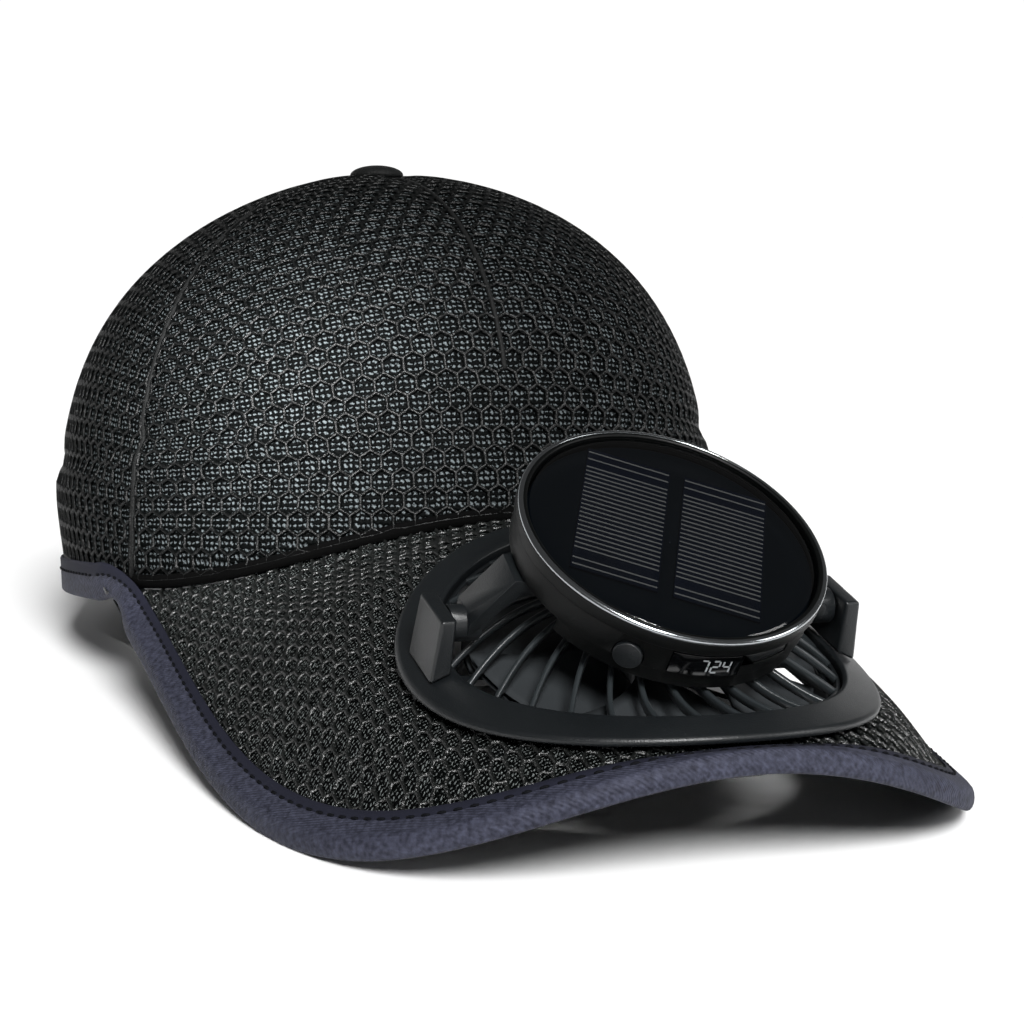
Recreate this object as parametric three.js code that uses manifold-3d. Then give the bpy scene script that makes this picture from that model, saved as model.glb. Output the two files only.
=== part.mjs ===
// Mesh baseball cap with a fan set in its visor and a tilting solar disc above the fan.
// Millimetres, +Z up, visor towards -Y, the wearer's right towards -X.
// The cap stands on the two low sides of its visor and on the back of its hem.
import * as THREE from 'three';
import { mergeVertices } from 'three/addons/utils/BufferGeometryUtils.js';
import Module from 'manifold-3d';

const wasm = await Module();
wasm.setup();

const DEG = Math.PI / 180;
const CLEARANCE = 0.3;

// Crown: half sizes of the head opening, height over the rim plane, and how full the cloth
// stands out at the front, at the back and towards the top (exponents of the profile).
const CROWN_HALF_WIDTH = 84;
const CROWN_HALF_LENGTH = 103;
const CROWN_HEIGHT = 115;
const CROWN_FRONT_FULLNESS = 0.93;
const CROWN_BACK_FULLNESS = 1.42;
const CROWN_TOP_FULLNESS = 0.587;
const CROWN_SIDE_SHARE = 1.3;
const CROWN_CLOTH = 1.6;
const FRONT_SEAM_ANGLE = 64 * DEG;
const REAR_SEAM_ANGLE = 122 * DEG;
const VISOR_CORNER_ANGLE = 68 * DEG;
const DENT_DEPTH = 2.4;
const DENT_HEIGHT = 20;
const DENT_SPREAD = 9;
const DART_DEPTH = 1.1;
const DART_WIDTH = 4;
const DART_FOOT = 62;
const BUTTON_RADIUS = 7;
const BUTTON_HEIGHT = 2.6;
const SHANK_RADIUS = 3.2;

// Sweatband inside the crown; the cloth bulges over it.
const BAND_HEIGHT = 30;
const BAND_THICKNESS = 1.1;
const BAND_BULGE = 0.9;
const BAND_GROOVE = 0.8;
const SIDE_TUCK = 3;
const HEM_STEP = 4.6;
const BAND_ROWS = [0, 8, 14, 20, 26, 30];

// Binding tape, folded round the hem and round the visor's edge.
const TAPE_WIDTH = 8.2;
const TAPE_THICKNESS = 0.9;
const TAPE_GAP = 0.4;
const VISOR_TAPE_WIDTH = 4.4;

// Visor: its slope from the rim plane, its height at the crown's front, how far its
// sides drop, and the margins round the fan that set its reach and width.
const VISOR_PITCH = 16.15 * DEG;
const VISOR_ROOT_HEIGHT = 32.1;
const VISOR_THICKNESS = 2;
const VISOR_SIDE_DROP = 38;
const VISOR_SIDE_FLARE = 0.18;
const VISOR_SHOULDER = 75;
const VISOR_SQUARENESS = 3.79;
const VISOR_SIDE_POWER = 0.45;
const RING_TO_CROWN = 21.5;
const RING_TO_FRONT = 3.6;
const RING_TO_SIDE = 30.8;

// Fan ring: a flange bent over the visor's arch, steeper than the visor and standing over
// its middle line, a collar through the visor, and a clamp ring below.
const FAN_PITCH = 19.5 * DEG;
const FAN_LIFT = 4.95;
const RING_RADIUS = 48.1;
const FLANGE_WIDTH = 7.9;
const FLANGE_BEND = 0.0047;
const RING_OPENING = RING_RADIUS - FLANGE_WIDTH;
const RING_RIM = 1.5;
const RING_RISE = 0.5;
const COLLAR_WALL = 1.4;
const COLLAR_DEPTH = 12.9;
const CLAMP_WIDTH = 3;
const CLAMP_THICKNESS = 1.5;

// Guard: a hoop in the ring's mouth, arched ribs, and a hub.
const RIB_COUNT = 30;
const RIB_WIDTH = 1.1;
const RIB_DEPTH = 1.8;
const RIB_SWIRL = 14 * DEG;
const GUARD_HOOP_WALL = 1;
const GUARD_HOOP_DEPTH = 2;
const GUARD_RECESS = 1.8;
const GUARD_TOP = 4.5;
const GUARD_HUB_RADIUS = 13;
const GUARD_HUB_THICKNESS = 2;

// Rotor, motor and its mount.
const BLADE_COUNT = 7;
const BLADE_THICKNESS = 1.2;
const BLADE_TIP_GAP = 4.9;
const BLADE_TIP_TOP = -6.9;
const ROTOR_HUB_RADIUS = 10.5;
const ROTOR_HUB_WALL = 2;
const ROTOR_TOP = -1.2;
const ROTOR_DEPTH = 9.9;
const MOTOR_RADIUS = 7.8;
const SHAFT_RADIUS = 1;
const MOUNT_THICKNESS = 1.4;
const MOUNT_SPOKES = 8;

// Posts, pivot and the solar head's set.
const PIVOT_BACK = 0.8;
const PIVOT_HEIGHT = 0.3;
const POST_TOP = 3.9;
const POST_LENGTH = 14.1;
const POST_FOOT = 4.6;
const POST_LEAN = 1.4;
const POST_INSET = 2.3;
const DRUM_RADIUS = 3.6;
const DRUM_LENGTH = 6;
const PIN_RADIUS = 1.8;
const PIN_LENGTH = 2.4;
const ARM_WIDTH = 8;
const ARM_THICKNESS = 2.6;
const ARM_REACH = 16;
const HEAD_TILT = 17.2 * DEG;
const HEAD_ROLL = 3.6 * DEG;
const HEAD_LIFT = 9.1;

// Solar head: a drum with a deeper front part, trim ring, glass and two cells.
const HEAD_RADIUS = 30.2;
const HEAD_THICKNESS = 12.5;
const FRONT_DEPTH = 3.2;
const FRONT_ANGLE = 62 * DEG;
const TRIM_WIDTH = 1.5;
const TRIM_HEIGHT = 1.8;
const GLASS_THICKNESS = 1.6;
const CELL_WIDTH = 17;
const CELL_LENGTH = 38.4;
const CELL_GAP = 3;
const CELL_SHIFT = 2.4;
const CELL_TURN = -24.5 * DEG;
const CELL_THICKNESS = 0.5;
const PANEL_THICKNESS = 0.9;
const POCKET_DEPTH = 1;

// What stands on or in the drum's wall: bearing from the front, height, width and size.
const SWITCH = { bearing: -33 * DEG, height: 4.4, radius: 2.8 };
const DISPLAY = { bearing: -5 * DEG, height: 5.7, width: 14, tall: 4.8 };
const PORT = { bearing: 20 * DEG, height: 7, width: 11, tall: 2 };

const MATERIALS = {
  mesh: { color: '#1c201e', roughness: 0.85, metalness: 0 },
  tape: { color: '#2f3140', roughness: 0.6, metalness: 0 },
  band: { color: '#16181a', roughness: 0.9, metalness: 0 },
  plastic: { color: '#17191b', roughness: 0.5, metalness: 0 },
  blades: { color: '#3b3e40', roughness: 0.5, metalness: 0 },
  glass: { color: '#0a1016', roughness: 0.1, metalness: 0 },
  cell: { color: '#0c1424', roughness: 0.3, metalness: 0.3 },
  trim: { color: '#8b8f92', roughness: 0.25, metalness: 0.8 },
};

const lerp = THREE.MathUtils.lerp;
const clamp = THREE.MathUtils.clamp;
const bell = (distance, spread) => Math.exp(-((distance / spread) ** 2));
const smooth = (share) => THREE.MathUtils.smoothstep(share, 0, 1);
const vec = (x, y, z) => new THREE.Vector3(x, y, z);

// A closed body from points and triangles, turned so that its faces point out.
function solid(points, triangles) {
  const geometry = new THREE.BufferGeometry();
  const position = points.flatMap((p) => [p.x, p.y, p.z]);
  geometry.setAttribute('position', new THREE.Float32BufferAttribute(position, 3));
  let volume = 0;
  for (const [a, b, c] of triangles) {
    volume += points[a].dot(vec().crossVectors(points[b], points[c]));
  }
  const outward = volume > 0 ? triangles : triangles.map(([a, b, c]) => [a, c, b]);
  geometry.setIndex(outward.flat());
  return geometry;
}

// A closed sheet: two grids over the same (u, v), joined along their rims.
function sheet(columns, rows, top, bottom) {
  const points = [];
  const triangles = [];
  const index = (side, i, j) => side * (columns + 1) * (rows + 1) + j * (columns + 1) + i;
  for (const face of [top, bottom]) {
    for (let j = 0; j <= rows; j++) {
      for (let i = 0; i <= columns; i++) points.push(face(i / columns, j / rows));
    }
  }
  const quad = (a, b, c, d) => triangles.push([a, b, c], [a, c, d]);
  for (let j = 0; j < rows; j++) {
    for (let i = 0; i < columns; i++) {
      quad(index(0, i, j), index(0, i + 1, j), index(0, i + 1, j + 1), index(0, i, j + 1));
      quad(index(1, i, j), index(1, i, j + 1), index(1, i + 1, j + 1), index(1, i + 1, j));
    }
  }
  for (let i = 0; i < columns; i++) {
    quad(index(0, i, 0), index(1, i, 0), index(1, i + 1, 0), index(0, i + 1, 0));
    quad(index(0, i, rows), index(0, i + 1, rows), index(1, i + 1, rows), index(1, i, rows));
  }
  for (let j = 0; j < rows; j++) {
    quad(index(0, 0, j), index(0, 0, j + 1), index(1, 0, j + 1), index(1, 0, j));
    quad(index(0, columns, j), index(1, columns, j), index(1, columns, j + 1),
      index(0, columns, j + 1));
  }
  return solid(points, triangles);
}

// A row of like sections joined into one body; the ends are capped, or the row closes on itself.
// From the point crossFrom on, its quads are split along their other diagonal.
function loft(sections, closed = false, crossFrom = Infinity) {
  const size = sections[0].length;
  const points = sections.flat();
  const triangles = [];
  const count = closed ? sections.length : sections.length - 1;
  for (let s = 0; s < count; s++) {
    const next = (s + 1) % sections.length;
    for (let i = 0; i < size; i++) {
      const k = (i + 1) % size;
      const [a, b, c, d] = [s * size + i, next * size + i, next * size + k, s * size + k];
      if (i < crossFrom) triangles.push([a, b, c], [a, c, d]);
      else triangles.push([a, b, d], [b, c, d]);
    }
  }
  if (!closed) {
    for (const [first, flip] of [[0, false], [(sections.length - 1) * size, true]]) {
      const loop = sections[first / size];
      const normal = vec(0, 0, 0);
      for (let i = 0; i < size; i++) {
        normal.add(vec().crossVectors(loop[i], loop[(i + 1) % size]));
      }
      const across = vec().subVectors(loop[1], loop[0]).normalize();
      const up = vec().crossVectors(normal, across).normalize();
      const flat = loop.map((p) => new THREE.Vector2(p.dot(across), p.dot(up)));
      for (const [a, b, c] of THREE.ShapeUtils.triangulateShape(flat, [])) {
        triangles.push(flip ? [first + a, first + c, first + b] : [first + a, first + b, first + c]);
      }
    }
  }
  return solid(points, triangles);
}

// A turned body about Z from [radius, height] pairs.
function turned(profile, segments = 48) {
  const outline = profile.map(([radius, height]) => new THREE.Vector2(radius, height));
  const onAxis = profile[0][0] === 0 && profile[profile.length - 1][0] === 0;
  if (!onAxis) outline.push(outline[0].clone());
  return new THREE.LatheGeometry(outline, segments).rotateX(Math.PI / 2);
}

function toManifold(geometry) {
  const bare = geometry.clone();
  bare.deleteAttribute('normal');
  bare.deleteAttribute('uv');
  const merged = mergeVertices(bare, 1e-4);
  const triangles = merged.index.array;
  const kept = [];
  for (let i = 0; i < triangles.length; i += 3) {
    const [a, b, c] = triangles.slice(i, i + 3);
    if (a !== b && b !== c && a !== c) kept.push(a, b, c);
  }
  const mesh = new wasm.Mesh({
    numProp: 3,
    vertProperties: new Float32Array(merged.attributes.position.array),
    triVerts: new Uint32Array(kept),
  });
  const body = new wasm.Manifold(mesh);
  return body.volume() < 0 ? new wasm.Manifold(flipped(mesh)) : body;
}

function flipped(mesh) {
  const triVerts = mesh.triVerts.slice();
  for (let i = 0; i < triVerts.length; i += 3) {
    [triVerts[i + 1], triVerts[i + 2]] = [triVerts[i + 2], triVerts[i + 1]];
  }
  return new wasm.Mesh({ numProp: 3, vertProperties: mesh.vertProperties, triVerts });
}

function fromManifold(body) {
  const mesh = body.getMesh();
  const geometry = new THREE.BufferGeometry();
  const position = new Float32Array(mesh.vertProperties);
  geometry.setAttribute('position', new THREE.BufferAttribute(position, 3));
  geometry.setIndex(Array.from(mesh.triVerts));
  return geometry;
}

const joined = (geometries) =>
  fromManifold(geometries.map(toManifold).reduce((all, one) => all.add(one)));

const cut = (geometry, cutters) =>
  fromManifold(cutters.map(toManifold).reduce((all, one) => all.subtract(one),
    toManifold(geometry)));

// Crown surface. The angle runs from the front towards the wearer's right, and rise from 0 at
// the rim plane to a quarter turn at the top.
function crownFullness(angle) {
  const share = (0.5 - 0.5 * Math.cos(angle)) ** CROWN_SIDE_SHARE;
  return lerp(CROWN_FRONT_FULLNESS, CROWN_BACK_FULLNESS, share);
}

function crownShare(angle, rise) {
  return Math.max(Math.cos(rise), 0) ** crownFullness(angle);
}

function plainCrown(angle, rise) {
  const share = crownShare(angle, rise);
  return vec(-CROWN_HALF_WIDTH * Math.sin(angle) * share,
    -CROWN_HALF_LENGTH * Math.cos(angle) * share,
    CROWN_HEIGHT * Math.max(Math.sin(rise), 0) ** CROWN_TOP_FULLNESS);
}

function riseAtHeight(height) {
  return Math.asin(clamp(height / CROWN_HEIGHT, 0, 1) ** (1 / CROWN_TOP_FULLNESS));
}

function crownNormal(angle, rise) {
  const step = 1e-3;
  const around = vec().subVectors(plainCrown(angle + step, rise), plainCrown(angle - step, rise));
  const upward = vec().subVectors(plainCrown(angle, Math.min(rise + step, Math.PI / 2)),
    plainCrown(angle, Math.max(rise - step, 0)));
  return vec().crossVectors(upward, around).normalize();
}

// Visor surface. Its middle line slopes from the crown's front, its sides drop, and round the
// fan it is drawn to the bent flange's underside, with the edge's tape between them.
const VISOR_HALF_WIDTH = RING_RADIUS + RING_TO_SIDE;
const FAN_FORWARD = CROWN_HALF_LENGTH + RING_TO_CROWN + RING_RADIUS * Math.cos(FAN_PITCH);
const VISOR_FRONT = FAN_FORWARD + RING_RADIUS * Math.cos(FAN_PITCH) + RING_TO_FRONT;
const SEAT_RADIUS = RING_RADIUS + 1;
const TAPE_SKIN = TAPE_GAP + TAPE_THICKNESS;
const SEAT_DEPTH = RING_RIM + TAPE_SKIN + CLEARANCE;

function ridgeHeight(y) {
  return VISOR_ROOT_HEIGHT - Math.tan(VISOR_PITCH) * (-y - CROWN_HALF_LENGTH);
}

function archHeight(x, y) {
  const share = (x / VISOR_HALF_WIDTH) ** 2;
  const drop = (1 + VISOR_SIDE_FLARE) * share - VISOR_SIDE_FLARE * share * share;
  return ridgeHeight(y) - VISOR_SIDE_DROP * drop;
}

const FAN_HEIGHT = ridgeHeight(-FAN_FORWARD) + FAN_LIFT;
const bend = (x) => FLANGE_BEND * x * x;

// The crown's outline in plan at the visor's root, and the visor's edge from the wearer's
// right corner round to the left one: a superellipse joined to the crown's wall.
const WALL_PLAN = [];
for (let i = -20; i <= 20; i++) {
  const p = plainCrown((i / 20) * 1.1 * VISOR_CORNER_ANGLE, riseAtHeight(VISOR_ROOT_HEIGHT / 2));
  WALL_PLAN.push(new THREE.Vector2(p.x, p.y));
}

const COLLAR_OUTER = RING_OPENING + COLLAR_WALL;
const CLAMP_TOP = -SEAT_DEPTH - 1.12 * VISOR_THICKNESS - TAPE_SKIN - CLEARANCE;
const EDGE_SHARES = [0.04, 0.15, 0.3, 0.45, 0.6, 0.74, 0.85, 0.925, 0.97, 0.992];
const EDGE_CURVE = (() => {
  const corner = plainCrown(VISOR_CORNER_ANGLE, riseAtHeight(VISOR_ROOT_HEIGHT / 2));
  const length = VISOR_FRONT - VISOR_SHOULDER;
  const side = [vec(corner.x - CROWN_CLOTH, corner.y, 0)];
  for (const share of EDGE_SHARES) {
    const width = (1 - share ** VISOR_SQUARENESS) ** VISOR_SIDE_POWER;
    side.push(vec(-VISOR_HALF_WIDTH * width, -VISOR_SHOULDER - length * share, 0));
  }
  const mirrored = side.map((p) => vec(-p.x, p.y, 0)).reverse();
  const points = [...side, vec(0, -VISOR_FRONT, 0), ...mirrored];
  return new THREE.CatmullRomCurve3(points, false, 'centripetal');
})();

const EDGE_PLAN = EDGE_CURVE.getSpacedPoints(120).map((p) => new THREE.Vector2(p.x, p.y));

function distanceTo(line, x, y) {
  let nearest = Infinity;
  for (let i = 1; i < line.length; i++) {
    const a = line[i - 1];
    const b = line[i];
    const length = (b.x - a.x) ** 2 + (b.y - a.y) ** 2;
    const share = clamp(((x - a.x) * (b.x - a.x) + (y - a.y) * (b.y - a.y)) / length, 0, 1);
    const gap = Math.hypot(x - lerp(a.x, b.x, share), y - lerp(a.y, b.y, share));
    nearest = Math.min(nearest, gap);
  }
  return nearest;
}

function visorHeight(x, y) {
  const forward = y + FAN_FORWARD;
  const seat = FAN_HEIGHT + Math.tan(FAN_PITCH) * forward
    - (SEAT_DEPTH + bend(x)) / Math.cos(FAN_PITCH);
  const along = Math.cos(FAN_PITCH) * forward + Math.sin(FAN_PITCH) * (seat - FAN_HEIGHT);
  const radius = Math.hypot(x, along);
  if (radius <= SEAT_RADIUS) return seat;
  const inner = radius - SEAT_RADIUS;
  const outer = Math.min(distanceTo(EDGE_PLAN, x, y), distanceTo(WALL_PLAN, x, y));
  const share = (outer * outer) / (inner * inner + outer * outer);
  return lerp(archHeight(x, y), seat, share);
}

// The sheet's thickness is measured square to its slope.
function visorDepth(x, y) {
  const step = 0.5;
  const slopeX = (visorHeight(x + step, y) - visorHeight(x - step, y)) / (2 * step);
  const slopeY = (visorHeight(x, y + step) - visorHeight(x, y - step)) / (2 * step);
  return VISOR_THICKNESS * Math.min(Math.hypot(1, slopeX, slopeY), 2);
}

// Foot of the crown's wall: it stands on the visor at the front, and its hem falls from the
// visor's corners to the back.
function footHeight(angle) {
  const turn = Math.abs(angle);
  const edge = Math.min(turn, VISOR_CORNER_ANGLE);
  const rise = riseAtHeight(VISOR_ROOT_HEIGHT / 2);
  const wall = plainCrown(edge, rise);
  const inward = crownNormal(edge, rise).multiplyScalar(CROWN_CLOTH);
  const onVisor = Math.max(archHeight(wall.x, wall.y),
    archHeight(wall.x - inward.x, wall.y - inward.y)) + CLEARANCE;
  if (turn <= VISOR_CORNER_ANGLE) return onVisor;
  const share = Math.max(Math.PI - turn, 0) / (Math.PI - VISOR_CORNER_ANGLE);
  const step = HEM_STEP * smooth((turn / VISOR_CORNER_ANGLE - 1.02) / 0.08);
  return (onVisor - step) * share;
}

// How far the cloth stands off the plain crown: the band's bulge, the groove over it, the
// dent across the front panel, and the dart from the button.
function relief(angle, height) {
  const over = height - footHeight(angle);
  const front = 1 - smooth((Math.abs(angle) / FRONT_SEAM_ANGLE - 0.55) / 0.45);
  const bulge = BAND_BULGE * (1 - smooth((over - BAND_HEIGHT + 2) / 5));
  const groove = BAND_GROOVE * bell(over - BAND_HEIGHT - 4, 3);
  const dent = DENT_DEPTH * front * bell(over - DENT_HEIGHT, DENT_SPREAD);
  const reach = CROWN_HALF_WIDTH * Math.abs(angle) * Math.cos(riseAtHeight(height));
  const dart = DART_DEPTH * bell(reach, DART_WIDTH) * smooth((height - DART_FOOT) / 12);
  const side = smooth((Math.abs(angle) / VISOR_CORNER_ANGLE - 0.9) / 0.4);
  const tuck = SIDE_TUCK * side * (1 - smooth(over / BAND_HEIGHT));
  return bulge - groove - dent - dart - tuck;
}

function crownPoint(angle, rise, offset) {
  const plain = plainCrown(angle, rise);
  const shift = offset + relief(angle, plain.z);
  return plain.addScaledVector(crownNormal(angle, rise), shift);
}

// A point of the wall by its height; below the rim plane the wall goes straight down.
function wallPoint(angle, height, offset) {
  const floor = 2;
  const point = crownPoint(angle, riseAtHeight(Math.max(height, floor)), offset);
  return vec(point.x, point.y, height);
}

// One panel of the crown between two seams, from its foot to the button's shank. Its lower
// rows stand at set heights over the foot, the rest follow the crown's rise.
const PANEL_ROWS = [...BAND_ROWS, 34, 39];
const TOP_SHARES = [0.14, 0.3, 0.48, 0.68, 0.87, 1];

function panelPoint(angle, row, offset) {
  if (row < PANEL_ROWS.length) {
    const point = wallPoint(angle, footHeight(angle) + PANEL_ROWS[row], offset);
    const onVisor = row === 0 && Math.abs(angle) < VISOR_CORNER_ANGLE;
    return onVisor ? point.setZ(archHeight(point.x, point.y) + CLEARANCE) : point;
  }
  const opening = (SHANK_RADIUS + 2 * CLEARANCE) / CROWN_HALF_WIDTH;
  const end = Math.acos(opening ** (1 / crownFullness(angle)));
  const start = riseAtHeight(footHeight(angle) + PANEL_ROWS[PANEL_ROWS.length - 1]);
  return crownPoint(angle, lerp(start, end, TOP_SHARES[row - PANEL_ROWS.length]), offset);
}

function crownPanel(angles) {
  const rows = PANEL_ROWS.length + TOP_SHARES.length - 1;
  const columns = angles.length - 1;
  const [from, to] = [angles[0], angles[columns]];
  const skin = (offset) => (u, v) => {
    const row = Math.round(v * rows);
    const angle = angles[Math.round(u * columns)];
    const middle = panelPoint(angle, row, 0);
    const inset = CLEARANCE / 2 / Math.hypot(middle.x, middle.y);
    const side = Math.sign(to - from) * Math.min(inset, 0.2);
    const share = (angle - from) / (to - from);
    return panelPoint(angle + side * (1 - 2 * share), row, offset);
  };
  return sheet(columns, rows, skin(0), skin(-CROWN_CLOTH));
}

function spread(from, to, count) {
  return Array.from({ length: count + 1 }, (_, i) => lerp(from, to, i / count));
}

// The side panels have close columns where the hem steps down past the visor's corner, and the
// hem's tape has its sections at the same angles.
const HEM_ANGLES = [
  ...spread(VISOR_CORNER_ANGLE * 1.02, VISOR_CORNER_ANGLE * 1.08, 3),
  ...spread(VISOR_CORNER_ANGLE * 1.1, REAR_SEAM_ANGLE, 6),
];
const SIDE_ANGLES = [FRONT_SEAM_ANGLE, VISOR_CORNER_ANGLE, ...HEM_ANGLES].reverse();

function topButton() {
  const seat = CROWN_HEIGHT + CLEARANCE;
  return turned([
    [0, seat - CROWN_CLOTH - 1],
    [SHANK_RADIUS, seat - CROWN_CLOTH - 1],
    [SHANK_RADIUS, seat],
    [BUTTON_RADIUS, seat],
    [BUTTON_RADIUS * 0.93, seat + BUTTON_HEIGHT * 0.45],
    [BUTTON_RADIUS * 0.7, seat + BUTTON_HEIGHT * 0.8],
    [BUTTON_RADIUS * 0.35, seat + BUTTON_HEIGHT * 0.96],
    [0, seat + BUTTON_HEIGHT],
  ], 24);
}

// The sweatband follows the crown's inside; past the visor it starts above the hem's tape.
function sweatband() {
  const stations = 48;
  const outer = -CROWN_CLOTH - 2 * CLEARANCE;
  const inner = outer - BAND_THICKNESS;
  const sections = [];
  for (let s = 0; s < stations; s++) {
    const angle = ((s / stations) * 2 - 1) * Math.PI;
    const turn = Math.abs(angle) / VISOR_CORNER_ANGLE;
    const start = lerp(CLEARANCE, TAPE_WIDTH + 1.5, smooth((turn - 0.72) / 0.24));
    const foot = footHeight(angle);
    const heights = BAND_ROWS.map((height) => Math.max(height, start));
    for (let i = 1; i < heights.length; i++) {
      heights[i] = Math.max(heights[i], heights[i - 1] + 0.5);
    }
    sections.push([
      ...heights.map((height) => wallPoint(angle, foot + height, outer)),
      ...[5, 3, 0].map((row) => wallPoint(angle, foot + heights[row], inner)),
    ]);
  }
  return loft(sections, true);
}

// The visor is a sheet between the crown's foot and the edge. Its last two rows lie under the
// binding, which is folded over the same points.
const EDGE_STEPS = [0, 0.35, 0.7, ...Array.from({ length: 43 }, (_, i) => i + 1), 43.3, 43.65, 44];
const VISOR_COLUMNS = EDGE_STEPS.length - 1;
const VISOR_SHARES = [0, 0.04, 0.085, 0.2, 0.33, 0.46, 0.59, 0.72, 0.84, 0.93, 1];
const VISOR_ROWS = VISOR_SHARES.length + 1;
const EDGE = EDGE_STEPS.map((step) => EDGE_CURVE.getPointAt(step / 44));

const EDGE_INWARD = EDGE.map((p, column) => {
  const before = EDGE[Math.max(column - 1, 0)];
  const after = EDGE[Math.min(column + 1, VISOR_COLUMNS)];
  const tangent = vec().subVectors(after, before).normalize();
  return vec(-tangent.y, tangent.x, 0);
});

function visorSeam(column) {
  const angle = lerp(VISOR_CORNER_ANGLE, -VISOR_CORNER_ANGLE, EDGE_STEPS[column] / 44);
  return wallPoint(angle, footHeight(angle), -CROWN_CLOTH).setZ(0);
}

function tapeInset(column) {
  const length = EDGE[column].distanceTo(visorSeam(column));
  const wall = CROWN_CLOTH + BAND_BULGE + 5 * CLEARANCE;
  return Math.min(VISOR_TAPE_WIDTH, Math.max(length - wall, length * 0.1));
}

function visorPlan(column, inset) {
  return EDGE[column].clone().addScaledVector(EDGE_INWARD[column], inset);
}

function visor() {
  const plan = (u, v) => {
    const column = Math.round(u * VISOR_COLUMNS);
    const row = Math.round(v * VISOR_ROWS);
    const inset = tapeInset(column);
    if (row >= VISOR_ROWS - 2) return visorPlan(column, (inset * (VISOR_ROWS - row)) / 2);
    return vec().lerpVectors(visorSeam(column), visorPlan(column, inset), VISOR_SHARES[row]);
  };
  const top = (u, v) => {
    const p = plan(u, v);
    return p.setZ(visorHeight(p.x, p.y));
  };
  const bottom = (u, v) => {
    const p = plan(u, v);
    return p.setZ(visorHeight(p.x, p.y) - visorDepth(p.x, p.y));
  };
  const radius = COLLAR_OUTER + CLEARANCE;
  const length = 4 * (COLLAR_DEPTH + bend(COLLAR_OUTER));
  const hole = new THREE.CylinderGeometry(radius, radius, length, 48).rotateX(Math.PI / 2);
  hole.rotateX(FAN_PITCH).translate(0, -FAN_FORWARD, FAN_HEIGHT);
  return cut(sheet(VISOR_COLUMNS, VISOR_ROWS, top, bottom), [hole]);
}

// Tape folded round the visor's edge; it narrows where it runs out against the crown.
function visorBinding() {
  const skin = TAPE_SKIN;
  const sections = [];
  for (let column = 1; column < VISOR_COLUMNS; column++) {
    const width = tapeInset(column);
    const place = (inset, side, off) => {
      const q = visorPlan(column, Math.max(inset, 0));
      const top = visorHeight(q.x, q.y);
      const height = side > 0 ? top + off : top - visorDepth(q.x, q.y) - off;
      return visorPlan(column, inset).setZ(height);
    };
    sections.push([
      place(width, 1, skin), place(width / 2, 1, skin), place(0, 1, skin),
      place(-skin, 1, -VISOR_THICKNESS * 0.3), place(-skin, -1, -VISOR_THICKNESS * 0.3),
      place(0, -1, skin), place(width / 2, -1, skin), place(width, -1, skin),
      place(width, -1, TAPE_GAP), place(width / 2, -1, TAPE_GAP),
      place(-TAPE_GAP, -1, TAPE_GAP), place(-TAPE_GAP, 1, TAPE_GAP),
      place(width / 2, 1, TAPE_GAP), place(width, 1, TAPE_GAP),
    ]);
  }
  return loft(sections, false, 11);
}

// Tape folded round the crown's hem, from one visor corner round the back to the other.
function hemBinding() {
  const half = [...HEM_ANGLES, ...spread(REAR_SEAM_ANGLE, Math.PI, 8).slice(1)];
  const angles = [...half, ...half.slice(0, -1).reverse().map((angle) => -angle)];
  const sections = [];
  const skin = CLEARANCE + TAPE_THICKNESS;
  for (const signed of angles) {
    const foot = footHeight(signed);
    const place = (height, offset) => wallPoint(signed, foot + height, offset);
    const inside = -CROWN_CLOTH;
    sections.push([
      place(TAPE_WIDTH, skin), place(TAPE_WIDTH / 2, skin), place(0, skin),
      place(-skin, skin * 0.3), place(-skin, inside - skin * 0.3),
      place(0, inside - skin), place(TAPE_WIDTH / 2, inside - skin),
      place(TAPE_WIDTH, inside - skin), place(TAPE_WIDTH, inside - CLEARANCE),
      place(TAPE_WIDTH / 2, inside - CLEARANCE), place(-CLEARANCE, inside - CLEARANCE),
      place(-CLEARANCE, CLEARANCE), place(TAPE_WIDTH / 2, CLEARANCE),
      place(TAPE_WIDTH, CLEARANCE),
    ]);
  }
  return loft(sections);
}

// Fan frame: Z is the fan's axis and 0 is the flange's top on its middle line. The ring is
// bent about that line; each profile point follows the bend by its third number.
function bentRing(profile, segments) {
  const sections = [];
  for (let i = 0; i < segments; i++) {
    const turn = (i / segments) * 2 * Math.PI;
    sections.push(profile.map(([radius, height, share = 1]) => {
      const x = radius * Math.sin(turn);
      return vec(x, -radius * Math.cos(turn), height - share * bend(x));
    }));
  }
  return loft(sections, true);
}

function fanRing() {
  return bentRing([
    [RING_OPENING, -COLLAR_DEPTH, 0.8], [COLLAR_OUTER, -COLLAR_DEPTH, 0.8],
    [COLLAR_OUTER, -RING_RIM], [RING_RADIUS, -RING_RIM], [RING_RADIUS, 0],
    [RING_OPENING, RING_RISE],
  ], 56);
}

function clampRing() {
  const inner = COLLAR_OUTER + CLEARANCE;
  const bottom = CLAMP_TOP - CLAMP_THICKNESS;
  return bentRing([
    [inner, bottom], [inner + CLAMP_WIDTH, bottom],
    [inner + CLAMP_WIDTH, CLAMP_TOP], [inner, CLAMP_TOP],
  ], 48);
}

const HOOP_OUTER = RING_OPENING - CLEARANCE;
const GUARD_BASE = RING_RISE - GUARD_RECESS;

// Height of a rib's top at a radius. Its outer end follows the bent mouth; ribs at the front
// stay low under the solar head, the others arch up at once.
function ribTop(radius, bearing) {
  const share = (radius - GUARD_HUB_RADIUS) / (HOOP_OUTER - GUARD_HUB_RADIUS);
  const flat = 1 + 4.4 * Math.max(Math.cos(bearing), 0) ** 6;
  const end = GUARD_BASE - bend(HOOP_OUTER * Math.sin(bearing));
  return end + (GUARD_TOP - end) * Math.max(1 - share * share, 0) ** flat;
}

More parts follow.
